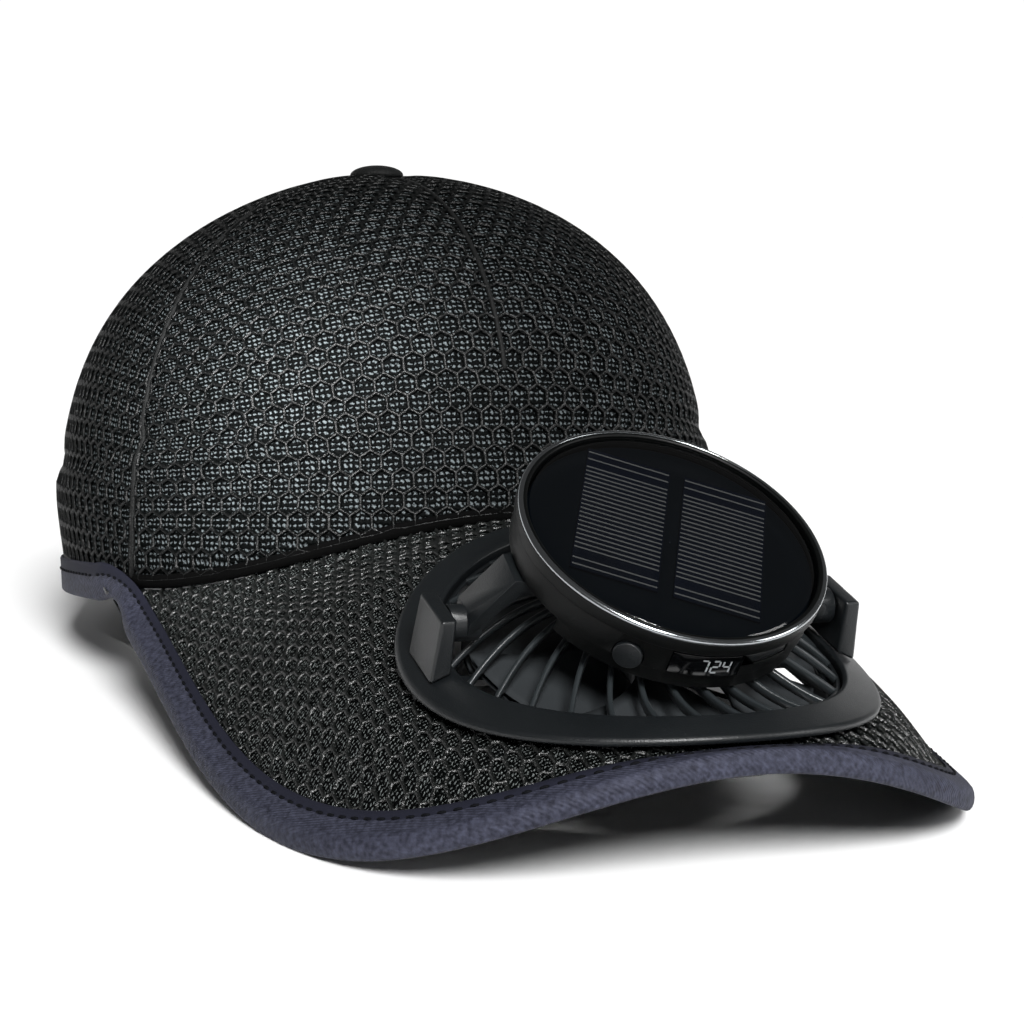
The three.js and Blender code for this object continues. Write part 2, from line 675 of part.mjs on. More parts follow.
function guardRib(bearing) {
  const shares = [0, 0.08, 0.22, 0.5, 1];
  const outer = HOOP_OUTER - GUARD_HOOP_WALL / 2;
  const inner = GUARD_HUB_RADIUS - 1;
  const sections = shares.map((share) => {
    const radius = lerp(outer, inner, share);
    const turn = bearing + RIB_SWIRL * share;
    const out = vec(-Math.sin(turn), -Math.cos(turn), 0);
    const across = vec(-out.y, out.x, 0).multiplyScalar(RIB_WIDTH / 2);
    const top = ribTop(radius, turn);
    const corner = (side, height) =>
      out.clone().multiplyScalar(radius).addScaledVector(across, side).setZ(height);
    return [corner(-1, top), corner(1, top), corner(1, top - RIB_DEPTH),
      corner(-1, top - RIB_DEPTH)];
  });
  return loft(sections);
}

function guard() {
  const hoop = bentRing([
    [HOOP_OUTER - GUARD_HOOP_WALL, GUARD_BASE - GUARD_HOOP_DEPTH],
    [HOOP_OUTER, GUARD_BASE - GUARD_HOOP_DEPTH], [HOOP_OUTER, GUARD_BASE],
    [HOOP_OUTER - GUARD_HOOP_WALL, GUARD_BASE],
  ], 48);
  const hub = turned([
    [0, GUARD_TOP - GUARD_HUB_THICKNESS], [GUARD_HUB_RADIUS, GUARD_TOP - GUARD_HUB_THICKNESS],
    [GUARD_HUB_RADIUS, GUARD_TOP], [0, GUARD_TOP],
  ], 24);
  const ribs = [];
  for (let i = 0; i < RIB_COUNT; i++) ribs.push(guardRib(((i + 0.5) / RIB_COUNT) * 2 * Math.PI));
  return joined([hoop, hub, ...ribs]);
}

const ROTOR_BOTTOM = ROTOR_TOP - ROTOR_DEPTH;
const MOTOR_TOP = ROTOR_TOP - ROTOR_HUB_WALL - CLEARANCE - 1;

function fanRotor() {
  const bore = SHAFT_RADIUS + CLEARANCE;
  const cavity = ROTOR_HUB_RADIUS - ROTOR_HUB_WALL;
  const ceiling = MOTOR_TOP + CLEARANCE + 0.5;
  const hub = turned([
    [0, ROTOR_TOP], [0, ceiling + 1], [bore, ceiling + 1], [bore, ceiling],
    [cavity, ceiling], [cavity, ROTOR_BOTTOM], [ROTOR_HUB_RADIUS, ROTOR_BOTTOM],
    [ROTOR_HUB_RADIUS, ROTOR_TOP - 1.5], [ROTOR_HUB_RADIUS - 1.5, ROTOR_TOP],
    [0, ROTOR_TOP],
  ], 24);
  const tip = HOOP_OUTER - BLADE_TIP_GAP;
  const blades = [];
  for (let i = 0; i < BLADE_COUNT; i++) {
    const start = (i / BLADE_COUNT) * 2 * Math.PI;
    const face = (lift) => (u, v) => {
      const radius = lerp(ROTOR_HUB_RADIUS - 1, tip, u);
      const chord = lerp(44, 56, u) * DEG;
      const turn = start + 16 * DEG * u * u + chord * (v - 0.5);
      const top = lerp(ROTOR_TOP - 1.5, BLADE_TIP_TOP, u);
      const low = ROTOR_BOTTOM + BLADE_THICKNESS + CLEARANCE;
      const height = lerp(low, top, v) + lift;
      return vec(-Math.sin(turn) * radius, -Math.cos(turn) * radius, height);
    };
    blades.push(sheet(4, 2, face(0), face(-BLADE_THICKNESS)));
  }
  return joined([hub, ...blades]);
}

function motorMount() {
  const top = ROTOR_BOTTOM - CLEARANCE;
  const bottom = top - MOUNT_THICKNESS;
  const band = (inner, outer) => turned([
    [inner, bottom], [outer, bottom], [outer, top], [inner, top],
  ], 32);
  const outer = HOOP_OUTER;
  const parts = [band(outer - 1.6, outer), band(outer * 0.62, outer * 0.62 + 1.6)];
  parts.push(turned([
    [0, bottom], [ROTOR_HUB_RADIUS, bottom], [ROTOR_HUB_RADIUS, top], [MOTOR_RADIUS, top],
    [MOTOR_RADIUS, MOTOR_TOP], [SHAFT_RADIUS, MOTOR_TOP], [SHAFT_RADIUS, MOTOR_TOP + 1.4],
    [0, MOTOR_TOP + 1.4],
  ], 24));
  for (let i = 0; i < MOUNT_SPOKES; i++) {
    const length = outer - 0.8;
    const spoke = new THREE.BoxGeometry(length, 2, MOUNT_THICKNESS);
    spoke.translate(length / 2, 0, (bottom + top) / 2).rotateZ((i / MOUNT_SPOKES) * 2 * Math.PI);
    parts.push(spoke);
  }
  return joined(parts);
}

// Posts stand on the flange; side is +1 on the wearer's left and -1 on the right.
const POST_OUTER = RING_RADIUS - POST_INSET;
const POST_INNER = POST_OUTER - POST_FOOT;
const POST_BASE = -bend(RING_RADIUS) - 2 * RING_RIM;

function post(side) {
  const ring = (share) => {
    const outer = POST_OUTER - POST_LEAN * share;
    const half = lerp(POST_LENGTH / 2, POST_LENGTH / 2 - 0.4, share);
    const height = lerp(POST_BASE, POST_TOP, share);
    return [
      vec(side * outer, PIVOT_BACK - half, height),
      vec(side * outer, PIVOT_BACK + half, height),
      vec(side * POST_INNER, PIVOT_BACK + half, height),
      vec(side * POST_INNER, PIVOT_BACK - half, height),
    ];
  };
  const body = loft([ring(0), ring(0.5), ring(1)]);
  const flange = (lift) => (u, v) => {
    const x = side * lerp(POST_INNER - 2, RING_RADIUS + 4, u);
    const y = PIVOT_BACK + POST_LENGTH * (v - 0.5) * 1.4;
    const share = clamp((RING_RADIUS - Math.hypot(x, y)) / FLANGE_WIDTH, 0, 1);
    return vec(x, y, RING_RISE * share - bend(x) + lift);
  };
  const depth = PIN_LENGTH + CLEARANCE;
  const radius = PIN_RADIUS + CLEARANCE;
  const bore = new THREE.CylinderGeometry(radius, radius, 2 * depth, 20).rotateZ(Math.PI / 2);
  bore.translate(side * (POST_INNER - CLEARANCE), PIVOT_BACK, PIVOT_HEIGHT);
  return cut(body, [sheet(8, 6, flange(CLEARANCE * 1.3), flange(-8)), bore]);
}

// Head frame: the origin is the middle of the pivot axis, which runs along X. The drum is
// turned about Y, so the arms reach its underside at different heights.
const DRUM_END = POST_INNER - CLEARANCE;
const UNDERSIDE = HEAD_LIFT + FRONT_DEPTH / Math.cos(HEAD_ROLL);

function pivotArm(side) {
  const start = DRUM_END - DRUM_LENGTH;
  const barrel = new THREE.CylinderGeometry(DRUM_RADIUS, DRUM_RADIUS, DRUM_LENGTH, 24);
  barrel.rotateZ(Math.PI / 2).translate(side * (start + DRUM_LENGTH / 2), 0, 0);
  const reach = PIN_LENGTH + DRUM_LENGTH / 2;
  const pin = new THREE.CylinderGeometry(PIN_RADIUS, PIN_RADIUS, reach, 20);
  pin.rotateZ(Math.PI / 2).translate(side * (DRUM_END + PIN_LENGTH - reach / 2), 0, 0);
  const under = (distance) =>
    UNDERSIDE - Math.tan(HEAD_ROLL) * side * distance - 1.5 * CLEARANCE;
  const rim = HEAD_RADIUS + 1;
  const outline = [
    [start + 3, 0], [start + 3, DRUM_RADIUS - 0.4], [rim, under(rim)],
    [ARM_REACH, under(ARM_REACH)], [ARM_REACH, under(ARM_REACH) - ARM_THICKNESS],
    [rim - 2, under(rim) - ARM_THICKNESS - 1.2],
  ];
  const shape = new THREE.Shape(outline.map(([x, z]) => new THREE.Vector2(x, z)));
  const plate = new THREE.ExtrudeGeometry(shape, { depth: ARM_WIDTH, bevelEnabled: false });
  plate.rotateX(Math.PI / 2).translate(0, ARM_WIDTH / 2, 0);
  if (side < 0) plate.rotateZ(Math.PI).translate(0, 0, 0);
  return joined([barrel, pin, plate]);
}

// Drum frame: Z is square to the glass and 0 is the bottom of the deeper front part.
const TRIM_BOTTOM = HEAD_THICKNESS - TRIM_HEIGHT;
const DRUM_TOP = TRIM_BOTTOM - CLEARANCE;
const TRIM_OUTER = HEAD_RADIUS + 0.7;
const GLASS_RADIUS = TRIM_OUTER - TRIM_WIDTH - CLEARANCE;
const PANEL_RADIUS = HEAD_RADIUS - 1.4;
const GLASS_BOTTOM = HEAD_THICKNESS - 0.2 - GLASS_THICKNESS;
const CELL_BOTTOM = GLASS_BOTTOM - CLEARANCE - CELL_THICKNESS;
const PANEL_BOTTOM = CELL_BOTTOM - CLEARANCE - PANEL_THICKNESS;

// A patch of the drum's wall between two radii.
function wallPatch(spec, inner, outer, grow = 0) {
  const half = (spec.width / 2 + grow) / HEAD_RADIUS;
  const low = spec.height - spec.tall / 2 - grow;
  const high = spec.height + spec.tall / 2 + grow;
  const face = (radius) => (u, v) => {
    const turn = spec.bearing + lerp(-half, half, u);
    return vec(Math.sin(turn) * radius, -Math.cos(turn) * radius, lerp(low, high, v));
  };
  return sheet(6, 1, face(outer), face(inner));
}

function switchButton(radius, from, to) {
  const stub = new THREE.CylinderGeometry(radius, radius, to - from, 24);
  stub.translate(0, -(from + to) / 2, 0).translate(0, 0, SWITCH.height);
  return stub.rotateZ(SWITCH.bearing);
}

function housing() {
  const wall = HEAD_RADIUS - PANEL_RADIUS - CLEARANCE;
  const cup = turned([
    [0, FRONT_DEPTH], [HEAD_RADIUS, FRONT_DEPTH], [HEAD_RADIUS, DRUM_TOP],
    [HEAD_RADIUS - wall, DRUM_TOP], [HEAD_RADIUS - wall, PANEL_BOTTOM - CLEARANCE],
    [0, PANEL_BOTTOM - CLEARANCE],
  ], 48);
  const outline = new THREE.Shape();
  const turn = Math.PI / 2;
  const radius = HEAD_RADIUS - 0.5;
  outline.absarc(0, 0, radius, -turn - FRONT_ANGLE, -turn + FRONT_ANGLE, false);
  const front = new THREE.ExtrudeGeometry(outline, {
    depth: FRONT_DEPTH + 1, bevelEnabled: false, curveSegments: 24,
  });
  const pocket = HEAD_RADIUS - POCKET_DEPTH;
  const outside = HEAD_RADIUS + 2;
  return cut(joined([cup, front]), [
    wallPatch(DISPLAY, pocket, outside, CLEARANCE),
    wallPatch(PORT, pocket, outside, CLEARANCE),
    switchButton(SWITCH.radius + CLEARANCE, pocket, outside),
  ]);
}

function trimRing() {
  const inner = GLASS_RADIUS + CLEARANCE;
  const skirt = HEAD_RADIUS + CLEARANCE;
  return turned([
    [inner, TRIM_BOTTOM], [skirt, TRIM_BOTTOM], [skirt, TRIM_BOTTOM - 1.6],
    [TRIM_OUTER, TRIM_BOTTOM - 1.6], [TRIM_OUTER, HEAD_THICKNESS - 0.4],
    [TRIM_OUTER - 0.4, HEAD_THICKNESS], [inner + 0.3, HEAD_THICKNESS],
    [inner, HEAD_THICKNESS - 0.3],
  ], 48);
}

function solarGlass() {
  return turned([
    [0, GLASS_BOTTOM], [PANEL_RADIUS, GLASS_BOTTOM], [PANEL_RADIUS, TRIM_BOTTOM],
    [GLASS_RADIUS, TRIM_BOTTOM], [GLASS_RADIUS, HEAD_THICKNESS - 0.6],
    [GLASS_RADIUS - 0.8, HEAD_THICKNESS - 0.2], [0, HEAD_THICKNESS - 0.2],
  ], 48);
}

function panelBase() {
  return turned([
    [0, PANEL_BOTTOM], [PANEL_RADIUS, PANEL_BOTTOM],
    [PANEL_RADIUS, PANEL_BOTTOM + PANEL_THICKNESS], [0, PANEL_BOTTOM + PANEL_THICKNESS],
  ], 48);
}

function solarCell(side) {
  const cell = new THREE.BoxGeometry(CELL_WIDTH, CELL_LENGTH, CELL_THICKNESS);
  cell.translate(side * (CELL_WIDTH + CELL_GAP) / 2, CELL_SHIFT, CELL_BOTTOM + CELL_THICKNESS / 2);
  return cell.rotateZ(CELL_TURN);
}

function mesh(name, geometry, finish) {
  const bare = geometry.index ? geometry : mergeVertices(geometry);
  bare.computeVertexNormals();
  const object = new THREE.Mesh(bare, new THREE.MeshStandardMaterial(MATERIALS[finish]));
  object.name = name;
  return object;
}

const cap = new THREE.Group();
cap.add(
  mesh('front_panel', crownPanel(spread(FRONT_SEAM_ANGLE, -FRONT_SEAM_ANGLE, 22)), 'mesh'),
  mesh('side_panel_right', crownPanel(SIDE_ANGLES), 'mesh'),
  mesh('side_panel_left', crownPanel(SIDE_ANGLES.map((angle) => -angle)), 'mesh'),
  mesh('back_panel_right', crownPanel(spread(Math.PI, REAR_SEAM_ANGLE, 8)), 'mesh'),
  mesh('back_panel_left', crownPanel(spread(-REAR_SEAM_ANGLE, -Math.PI, 8)), 'mesh'),
  mesh('top_button', topButton(), 'mesh'),
  mesh('sweatband', sweatband(), 'band'),
  mesh('visor', visor(), 'mesh'),
  mesh('visor_binding', visorBinding(), 'tape'),
  mesh('hem_binding', hemBinding(), 'tape'),
);

const fan = new THREE.Group();
fan.position.set(0, -FAN_FORWARD, FAN_HEIGHT);
fan.rotation.x = FAN_PITCH;
fan.add(
  mesh('fan_ring', fanRing(), 'plastic'),
  mesh('clamp_ring', clampRing(), 'plastic'),
  mesh('guard', guard(), 'plastic'),
  mesh('fan_rotor', fanRotor(), 'blades'),
  mesh('motor_mount', motorMount(), 'plastic'),
  mesh('post_right', post(-1), 'plastic'),
  mesh('post_left', post(1), 'plastic'),
);
cap.add(fan);

const head = new THREE.Group();
head.position.set(0, PIVOT_BACK, PIVOT_HEIGHT);
head.rotation.x = HEAD_TILT;
head.add(mesh('pivot_arm_right', pivotArm(-1), 'plastic'));
head.add(mesh('pivot_arm_left', pivotArm(1), 'plastic'));
fan.add(head);

const drum = new THREE.Group();
drum.position.z = HEAD_LIFT;
drum.rotation.y = HEAD_ROLL;
drum.add(
  mesh('housing', housing(), 'plastic'),
  mesh('trim_ring', trimRing(), 'trim'),
  mesh('solar_glass', solarGlass(), 'glass'),
  mesh('panel_base', panelBase(), 'plastic'),
  mesh('solar_cell_right', solarCell(-1), 'cell'),
  mesh('solar_cell_left', solarCell(1), 'cell'),
  mesh('switch_button', switchButton(SWITCH.radius, HEAD_RADIUS - POCKET_DEPTH + CLEARANCE,
    HEAD_RADIUS + 0.5), 'plastic'),
  mesh('display', wallPatch(DISPLAY, HEAD_RADIUS - POCKET_DEPTH + CLEARANCE,
    HEAD_RADIUS - 0.1), 'glass'),
  mesh('port_cover', wallPatch(PORT, HEAD_RADIUS - POCKET_DEPTH + CLEARANCE,
    HEAD_RADIUS - 0.2), 'plastic'),
);
head.add(drum);

// The cap rocks forward or back until the visor's low sides and the back of the hem both
// touch the floor.
function restAngle() {
  const points = (name) => {
    const { array } = cap.getObjectByName(name).geometry.attributes.position;
    const list = [];
    for (let i = 0; i < array.length; i += 3) list.push([array[i + 1], array[i + 2]]);
    return list;
  };
  const lowest = (list, angle) => list.reduce((low, [y, z]) => {
    const height = y * Math.sin(angle) + z * Math.cos(angle);
    return height < low.height ? { height, y } : low;
  }, { height: Infinity, y: 0 });
  const front = points('visor_binding').filter(([y]) => y < -CROWN_HALF_LENGTH);
  const back = points('hem_binding').filter(([y]) => y > 0);
  let angle = 0;
  for (let step = 0; step < 12; step++) {
    const low = lowest(front, angle);
    const high = lowest(back, angle);
    angle -= (low.height - high.height) / (low.y - high.y);
  }
  return angle;
}

cap.rotation.x = restAngle();

// The finished hat stands on the floor with its origin at the bottom middle of its box.
const hat = new THREE.Group();
hat.add(cap);
hat.updateMatrixWorld(true);
const box = new THREE.Box3().setFromObject(hat, true);
const middle = box.getCenter(new THREE.Vector3());
cap.position.set(-middle.x, -middle.y, -box.min.z);
hat.updateMatrixWorld(true);

export default hat;
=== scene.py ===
import bmesh
import bpy
import numpy as np
from mathutils import Matrix, Vector


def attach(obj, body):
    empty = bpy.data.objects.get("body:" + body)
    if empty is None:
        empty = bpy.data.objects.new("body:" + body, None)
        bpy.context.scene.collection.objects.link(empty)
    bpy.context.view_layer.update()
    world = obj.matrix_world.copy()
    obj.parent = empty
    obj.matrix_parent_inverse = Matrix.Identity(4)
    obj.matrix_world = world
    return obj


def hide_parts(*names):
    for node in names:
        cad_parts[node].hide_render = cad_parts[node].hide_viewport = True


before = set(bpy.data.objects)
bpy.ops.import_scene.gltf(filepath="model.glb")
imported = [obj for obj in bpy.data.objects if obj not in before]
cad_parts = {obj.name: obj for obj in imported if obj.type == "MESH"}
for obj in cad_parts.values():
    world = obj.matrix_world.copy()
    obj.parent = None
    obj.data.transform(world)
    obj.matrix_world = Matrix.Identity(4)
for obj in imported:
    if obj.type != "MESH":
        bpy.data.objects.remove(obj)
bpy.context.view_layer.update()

# Crown. Five panels of knitted cloth, sewn to a full dome, fuller at its front, with a bulge
# over the sweatband, a dent across the front panel and a dart down from the button. It is
# shaped in millimetres: Z up from the rim plane, the visor towards -Y, the wearer's right
# towards -X. CAP then sets the cap down on the floor, tilted as it stands there.


def turn(axis, degrees):
    """Rotation about an axis, as a 4 x 4 matrix."""
    a, b = {"X": (1, 2), "Y": (2, 0), "Z": (0, 1)}[axis]
    angle = np.radians(degrees)
    matrix = np.eye(4)
    matrix[a, a] = matrix[b, b] = np.cos(angle)
    matrix[b, a] = np.sin(angle)
    matrix[a, b] = -np.sin(angle)
    return matrix


def move(x, y, z):
    """Translation as a 4 x 4 matrix."""
    matrix = np.eye(4)
    matrix[:3, 3] = x, y, z
    return matrix


CAP = move(0, 57.2722, 9.3783) @ turn("X", -4.63305)
HALF_WIDTH, HALF_LENGTH, CROWN_HEIGHT = 84, 103, 115
TOP_FULLNESS = 0.587
CLOTH = 1.6
VISOR_DROP = 38
CORNER = np.radians(68)
FRONT_SEAM, REAR_SEAM = np.radians(64), np.radians(122)
VISOR_HALF_WIDTH = 78.9


def crown_share(angle, rise):
    """How far out the dome stands at a bearing and rise, as a share of its rim: cos(rise)^f.

    The fullness f goes from 0.93 in front to 1.42 at the back.
    """
    fullness = 0.93 + 0.49 * (0.5 - 0.5 * np.cos(angle)) ** 1.3
    return np.maximum(np.cos(rise), 0) ** fullness


def plain_crown(angle, rise):
    """x = -84 sin(a) s, y = -103 cos(a) s, z = 115 sin(r)^0.587, with s the dome's share."""
    share = crown_share(angle, rise)
    height = CROWN_HEIGHT * np.maximum(np.sin(rise), 0) ** TOP_FULLNESS
    x = -HALF_WIDTH * np.sin(angle) * share
    y = -HALF_LENGTH * np.cos(angle) * share
    return np.stack(np.broadcast_arrays(x, y, height), -1)


def rise_at(height):
    """The rise at which the dome reaches a height: arcsin((height / 115)^(1 / 0.587))."""
    return np.arcsin(np.clip(height / CROWN_HEIGHT, 0, 1) ** (1 / TOP_FULLNESS))


# Where the wall of the crown meets the visor at its corner.
ROOT_RISE = rise_at(16.05)


def crown_normal(angle, rise):
    """Outward normal of the plain dome: the cross product of short steps up and round it."""
    step = 1e-3
    around = plain_crown(angle + step, rise) - plain_crown(angle - step, rise)
    upward = plain_crown(angle, np.minimum(rise + step, np.pi / 2)) - plain_crown(
        angle, np.maximum(rise - step, 0)
    )
    normal = np.cross(upward, around)
    return normal / np.maximum(np.linalg.norm(normal, axis=-1, keepdims=True), 1e-9)


def ridge(y):
    """Height of the visor's middle line, falling 16.15 degrees forwards from 32.1 mm."""
    return 32.1 - np.tan(np.radians(16.15)) * (-y - HALF_LENGTH)


def arch(x, y):
    """Height of the visor without the fan's seat.

    It is the ridge less 38 (1.18 q - 0.18 q^2), with q = (x / 78.9)^2.
    """
    share = (x / VISOR_HALF_WIDTH) ** 2
    return ridge(y) - VISOR_DROP * (1.18 * share - 0.18 * share**2)


def ease(share):
    """Smooth step from 0 to 1."""
    share = np.clip(share, 0, 1)
    return share * share * (3 - 2 * share)


def bell(distance, spread):
    """exp(-(d / s)^2)"""
    return np.exp(-((distance / spread) ** 2))


def foot(angle):
    """Height of the crown's foot: on the visor in front, then falling along the hem."""
    bearing = np.abs(angle)
    edge = np.minimum(bearing, CORNER)
    outer = plain_crown(edge, ROOT_RISE)
    inner = outer - CLOTH * crown_normal(edge, ROOT_RISE)
    seat = np.maximum(arch(outer[..., 0], outer[..., 1]), arch(inner[..., 0], inner[..., 1])) + 0.3
    back = np.clip((np.pi - bearing) / (np.pi - CORNER), 0, 1)
    step = 4.6 * ease((bearing / CORNER - 1.02) / 0.08)
    return (seat - step) * np.where(bearing > CORNER, back, 1)


def relief(angle, height):
    """How far the cloth stands off the plain dome: its bulge less groove, dent, dart and tuck."""
    over = height - foot(angle)
    front = 1 - ease((np.abs(angle) / FRONT_SEAM - 0.55) / 0.45)
    bulge = 0.9 * (1 - ease((over - 28) / 5))
    groove = 0.8 * bell(over - 34, 3)
    dent = 2.4 * front * bell(over - 20, 9)
    reach = HALF_WIDTH * np.abs(angle) * np.cos(rise_at(height))
    dart = 1.1 * bell(reach, 4) * ease((height - 62) / 12)
    side = ease((np.abs(angle) / CORNER - 0.9) / 0.4)
    tuck = 3 * side * (1 - ease(over / 30))
    return bulge - groove - dent - dart - tuck


def crown(angle, rise, offset=0.0):
    """A point of the crown's cloth, offset along the dome's normal."""
    angle, rise = np.broadcast_arrays(angle, rise)
    plain = plain_crown(angle, rise)
    shift = offset + relief(angle, plain[..., 2])
    return plain + crown_normal(angle, rise) * shift[..., None]


def wall(angle, height, offset=0.0):
    """A point of the crown's wall by height; below the rim plane it goes straight down."""
    point = crown(angle, rise_at(np.maximum(height, 2)), offset)
    point[..., 2] = height
    return point


# Cloth of the crown: warp-knitted polyester, a black honeycomb of thick cords over a grey
# knit, whose light threads show in rows of short dashes through the cells.


def linear(colour):
    """An sRGB hex colour as linear red, green, blue and alpha."""
    srgb = np.array([int(colour[i : i + 2], 16) for i in (1, 3, 5)]) / 255
    low, high = srgb / 12.92, ((srgb + 0.055) / 1.055) ** 2.4
    return (*np.where(srgb <= 0.04045, low, high), 1.0)


def feed(tree, node, inputs):
    """Sets a node's inputs: a value is set, a socket or another node's first result is linked."""
    for name, value in inputs.items():
        if isinstance(value, bpy.types.Node):
            value = value.outputs[0]
        if isinstance(value, bpy.types.NodeSocket):
            tree.links.new(value, node.inputs[name])
        else:
            node.inputs[name].default_value = value


def add(tree, kind, inputs=None, **settings):
    """A shader node with its settings and its inputs."""
    made = tree.nodes.new(kind)
    for name, value in settings.items():
        setattr(made, name, value)
    feed(tree, made, inputs or {})
    return made


def material(name, colour, roughness, **inputs):
    """A principled material; returns it with its tree and its shader."""
    made = bpy.data.materials.new(name)
    made.use_nodes = True
    shader = made.node_tree.nodes["Principled BSDF"]
    shader.inputs["Base Color"].default_value = linear(colour)
    shader.inputs["Roughness"].default_value = roughness
    for key, value in inputs.items():
        shader.inputs[key.replace("_", " ")].default_value = value
    return made, made.node_tree, shader


def knit(name, colour, thread, across, along, roughness, narrow):
    """Light threads in rows of dashes on dark cloth, on the cloth's own millimetres.

    A dash stands as |sin(pi u / across)|^0.7 |sin(pi v / along)|^1.6, with a slow sway of the
    threads; the larger `narrow`, the smaller the light part.
    """
    made, tree, shader = material(name, colour, roughness, Specular_IOR_Level=0.04)
    place = add(tree, "ShaderNodeUVMap", uv_map="cloth")
    split = add(tree, "ShaderNodeSeparateXYZ", {"Vector": place})
    wobble = add(tree, "ShaderNodeTexNoise", {"Vector": place, "Scale": 0.9, "Detail": 2.0})
    sway = add(tree, "ShaderNodeMath", {0: wobble, 1: 0.5}, operation="SUBTRACT")
    sway = add(tree, "ShaderNodeMath", {0: sway, 1: 1.6}, operation="MULTIPLY")
    waves = []
    for axis, pitch, power in ((0, across, 0.7), (1, along, 1.6)):
        spot = add(tree, "ShaderNodeMath", {0: split.outputs[axis], 1: sway}, operation="ADD")
        phase = add(tree, "ShaderNodeMath", {0: spot, 1: np.pi / pitch}, operation="MULTIPLY")
        sine = add(tree, "ShaderNodeMath", {0: phase}, operation="SINE")
        size = add(tree, "ShaderNodeMath", {0: sine}, operation="ABSOLUTE")
        waves.append(add(tree, "ShaderNodeMath", {0: size, 1: power}, operation="POWER"))
    height = add(tree, "ShaderNodeMath", {0: waves[0], 1: waves[1]}, operation="MULTIPLY")
    grain = add(tree, "ShaderNodeTexNoise", {"Vector": place, "Scale": 2.6, "Detail": 3.0})
    patchy = add(tree, "ShaderNodeMath", {0: grain, 1: 1.9}, operation="MULTIPLY")
    light = add(tree, "ShaderNodeMath", {0: height, 1: patchy}, operation="MULTIPLY")
    ramp = add(tree, "ShaderNodeValToRGB", {"Fac": light})
    ramp.color_ramp.elements[0].position = narrow
    ramp.color_ramp.elements[0].color = linear(colour)
    ramp.color_ramp.elements[1].position = 0.95
    ramp.color_ramp.elements[1].color = linear(thread)
    threads = add(tree, "ShaderNodeBump", {"Height": height, "Distance": 0.0004})
    feed(tree, shader, {"Base Color": ramp, "Normal": threads})
    return made


def grained(name, colour, roughness, count, depth, strength=1.0, detail=3.0, gloss=0.5):
    """A material with a fine grain: noise over the object's metres, as a bump.

    The noise has `count` grains to the metre, and `depth` is the bump's, in metres.
    """
    made, tree, shader = material(name, colour, roughness, Specular_IOR_Level=gloss)
    place = add(tree, "ShaderNodeTexCoord").outputs["Object"]
    grain = add(tree, "ShaderNodeTexNoise", {"Vector": place, "Scale": count, "Detail": detail})
    bumps = add(
        tree, "ShaderNodeBump", {"Height": grain, "Distance": depth, "Strength": strength}
    )
    feed(tree, shader, {"Normal": bumps})
    return made, tree, shader


# Knitted polyester, matt: light threads 1.35 mm apart across and 1.4 mm along, on near black.
under_knit = knit("knit_under_net", "#020303", "#565c5e", 1.35, 1.4, 0.7, 0.48)
# Bundled black filaments, each about 0.45 mm thick, give the cords a faint sheen.
net_black, _, _ = grained(
    "net_cord_black", "#030404", 0.36, 2200, 0.0004, strength=0.8, detail=2.0, gloss=0.28
)


def honeycomb(width, row, u_range, v_range):
    """Corners of pointed cells, `width` apart across and `row` apart up, as (cells, 6, 2)."""
    rows = np.arange(np.floor(v_range[0] / row) - 1, np.ceil(v_range[1] / row) + 2)
    cells = np.arange(np.floor(u_range[0] / width) - 1, np.ceil(u_range[1] / width) + 2)
    u, v = np.meshgrid(cells, rows)
    centre = np.stack([(u + 0.5 * (v % 2)) * width, v * row], -1).reshape(-1, 1, 2)
    corner = np.array(
        [(0, 2), (0.5, 1), (0.5, -1), (0, -2), (-0.5, -1), (-0.5, 1)]
    ) * (width, row / 3)
    return centre + corner[None]


def mesh(name, points, faces, finish, body, slot, place=CAP, uv=None, nodes=(), smooth=True):
    """One piece from points in millimetres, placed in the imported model's metres."""
    points = np.asarray(points, float).reshape(-1, 3)
    placed = (points @ place[:3, :3].T + place[:3, 3]) * 0.001
    data = bpy.data.meshes.new(name)
    data.from_pydata(placed.tolist(), [], faces)
    data.materials.append(finish)
    data.polygons.foreach_set("use_smooth", [smooth] * len(data.polygons))
    if uv is not None:
        layer = data.uv_layers.new(name="cloth")
        loops = np.empty(len(data.loops), int)
        data.loops.foreach_get("vertex_index", loops)
        layer.data.foreach_set("uv", np.asarray(uv, float).reshape(-1, 2)[loops].ravel())
    made = bpy.data.objects.new(name, data)
    bpy.context.scene.collection.objects.link(made)
    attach(made, body)
    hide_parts(*nodes)
    return made


def net(name, cells, shape, inside, finish, cord):
    """A net of cords along the cells' sides; `shape` gives the points at flat places."""
    flat = cells.reshape(-1, 2)
    keys, index = np.unique(np.round(flat * 50).astype(int), axis=0, return_inverse=True)
    index = index.reshape(len(cells), 6)
    points, real = shape(keys / 50.0)
    keep = inside(cells.mean(1)) & (real[index].sum(1) >= 2)
    used, packed = np.unique(index[keep], return_inverse=True)
    faces = packed.reshape(-1, 6).tolist()
    made = mesh(name, points[used], faces, finish, "hat", "mesh")
    strands = made.modifiers.new("strands", "WIREFRAME")
    strands.thickness = cord * 0.001
    strands.use_even_offset = False
    strands.use_boundary = True


KNIT_TOP, NET_TOP = np.pi / 2 * 0.985, np.pi / 2 * 0.975
NET_DEPTH, KNIT_FACE, KNIT_BACK = -0.35, -0.75, -1.5


def grid_faces(rows, columns, ring=False, closed=False, flip=False, start=0):
    """Quads over rows of points; ring joins each row's ends, closed the last row to the first."""
    faces = []
    for j in range(rows if closed else rows - 1):
        for i in range(columns if ring else columns - 1):
            k = (i + 1) % columns
            here, ahead = start + j * columns, start + (j + 1) % rows * columns
            a, b, c, d = here + i, here + k, ahead + k, ahead + i
            faces.append((a, d, c, b) if flip else (a, b, c, d))
    return faces


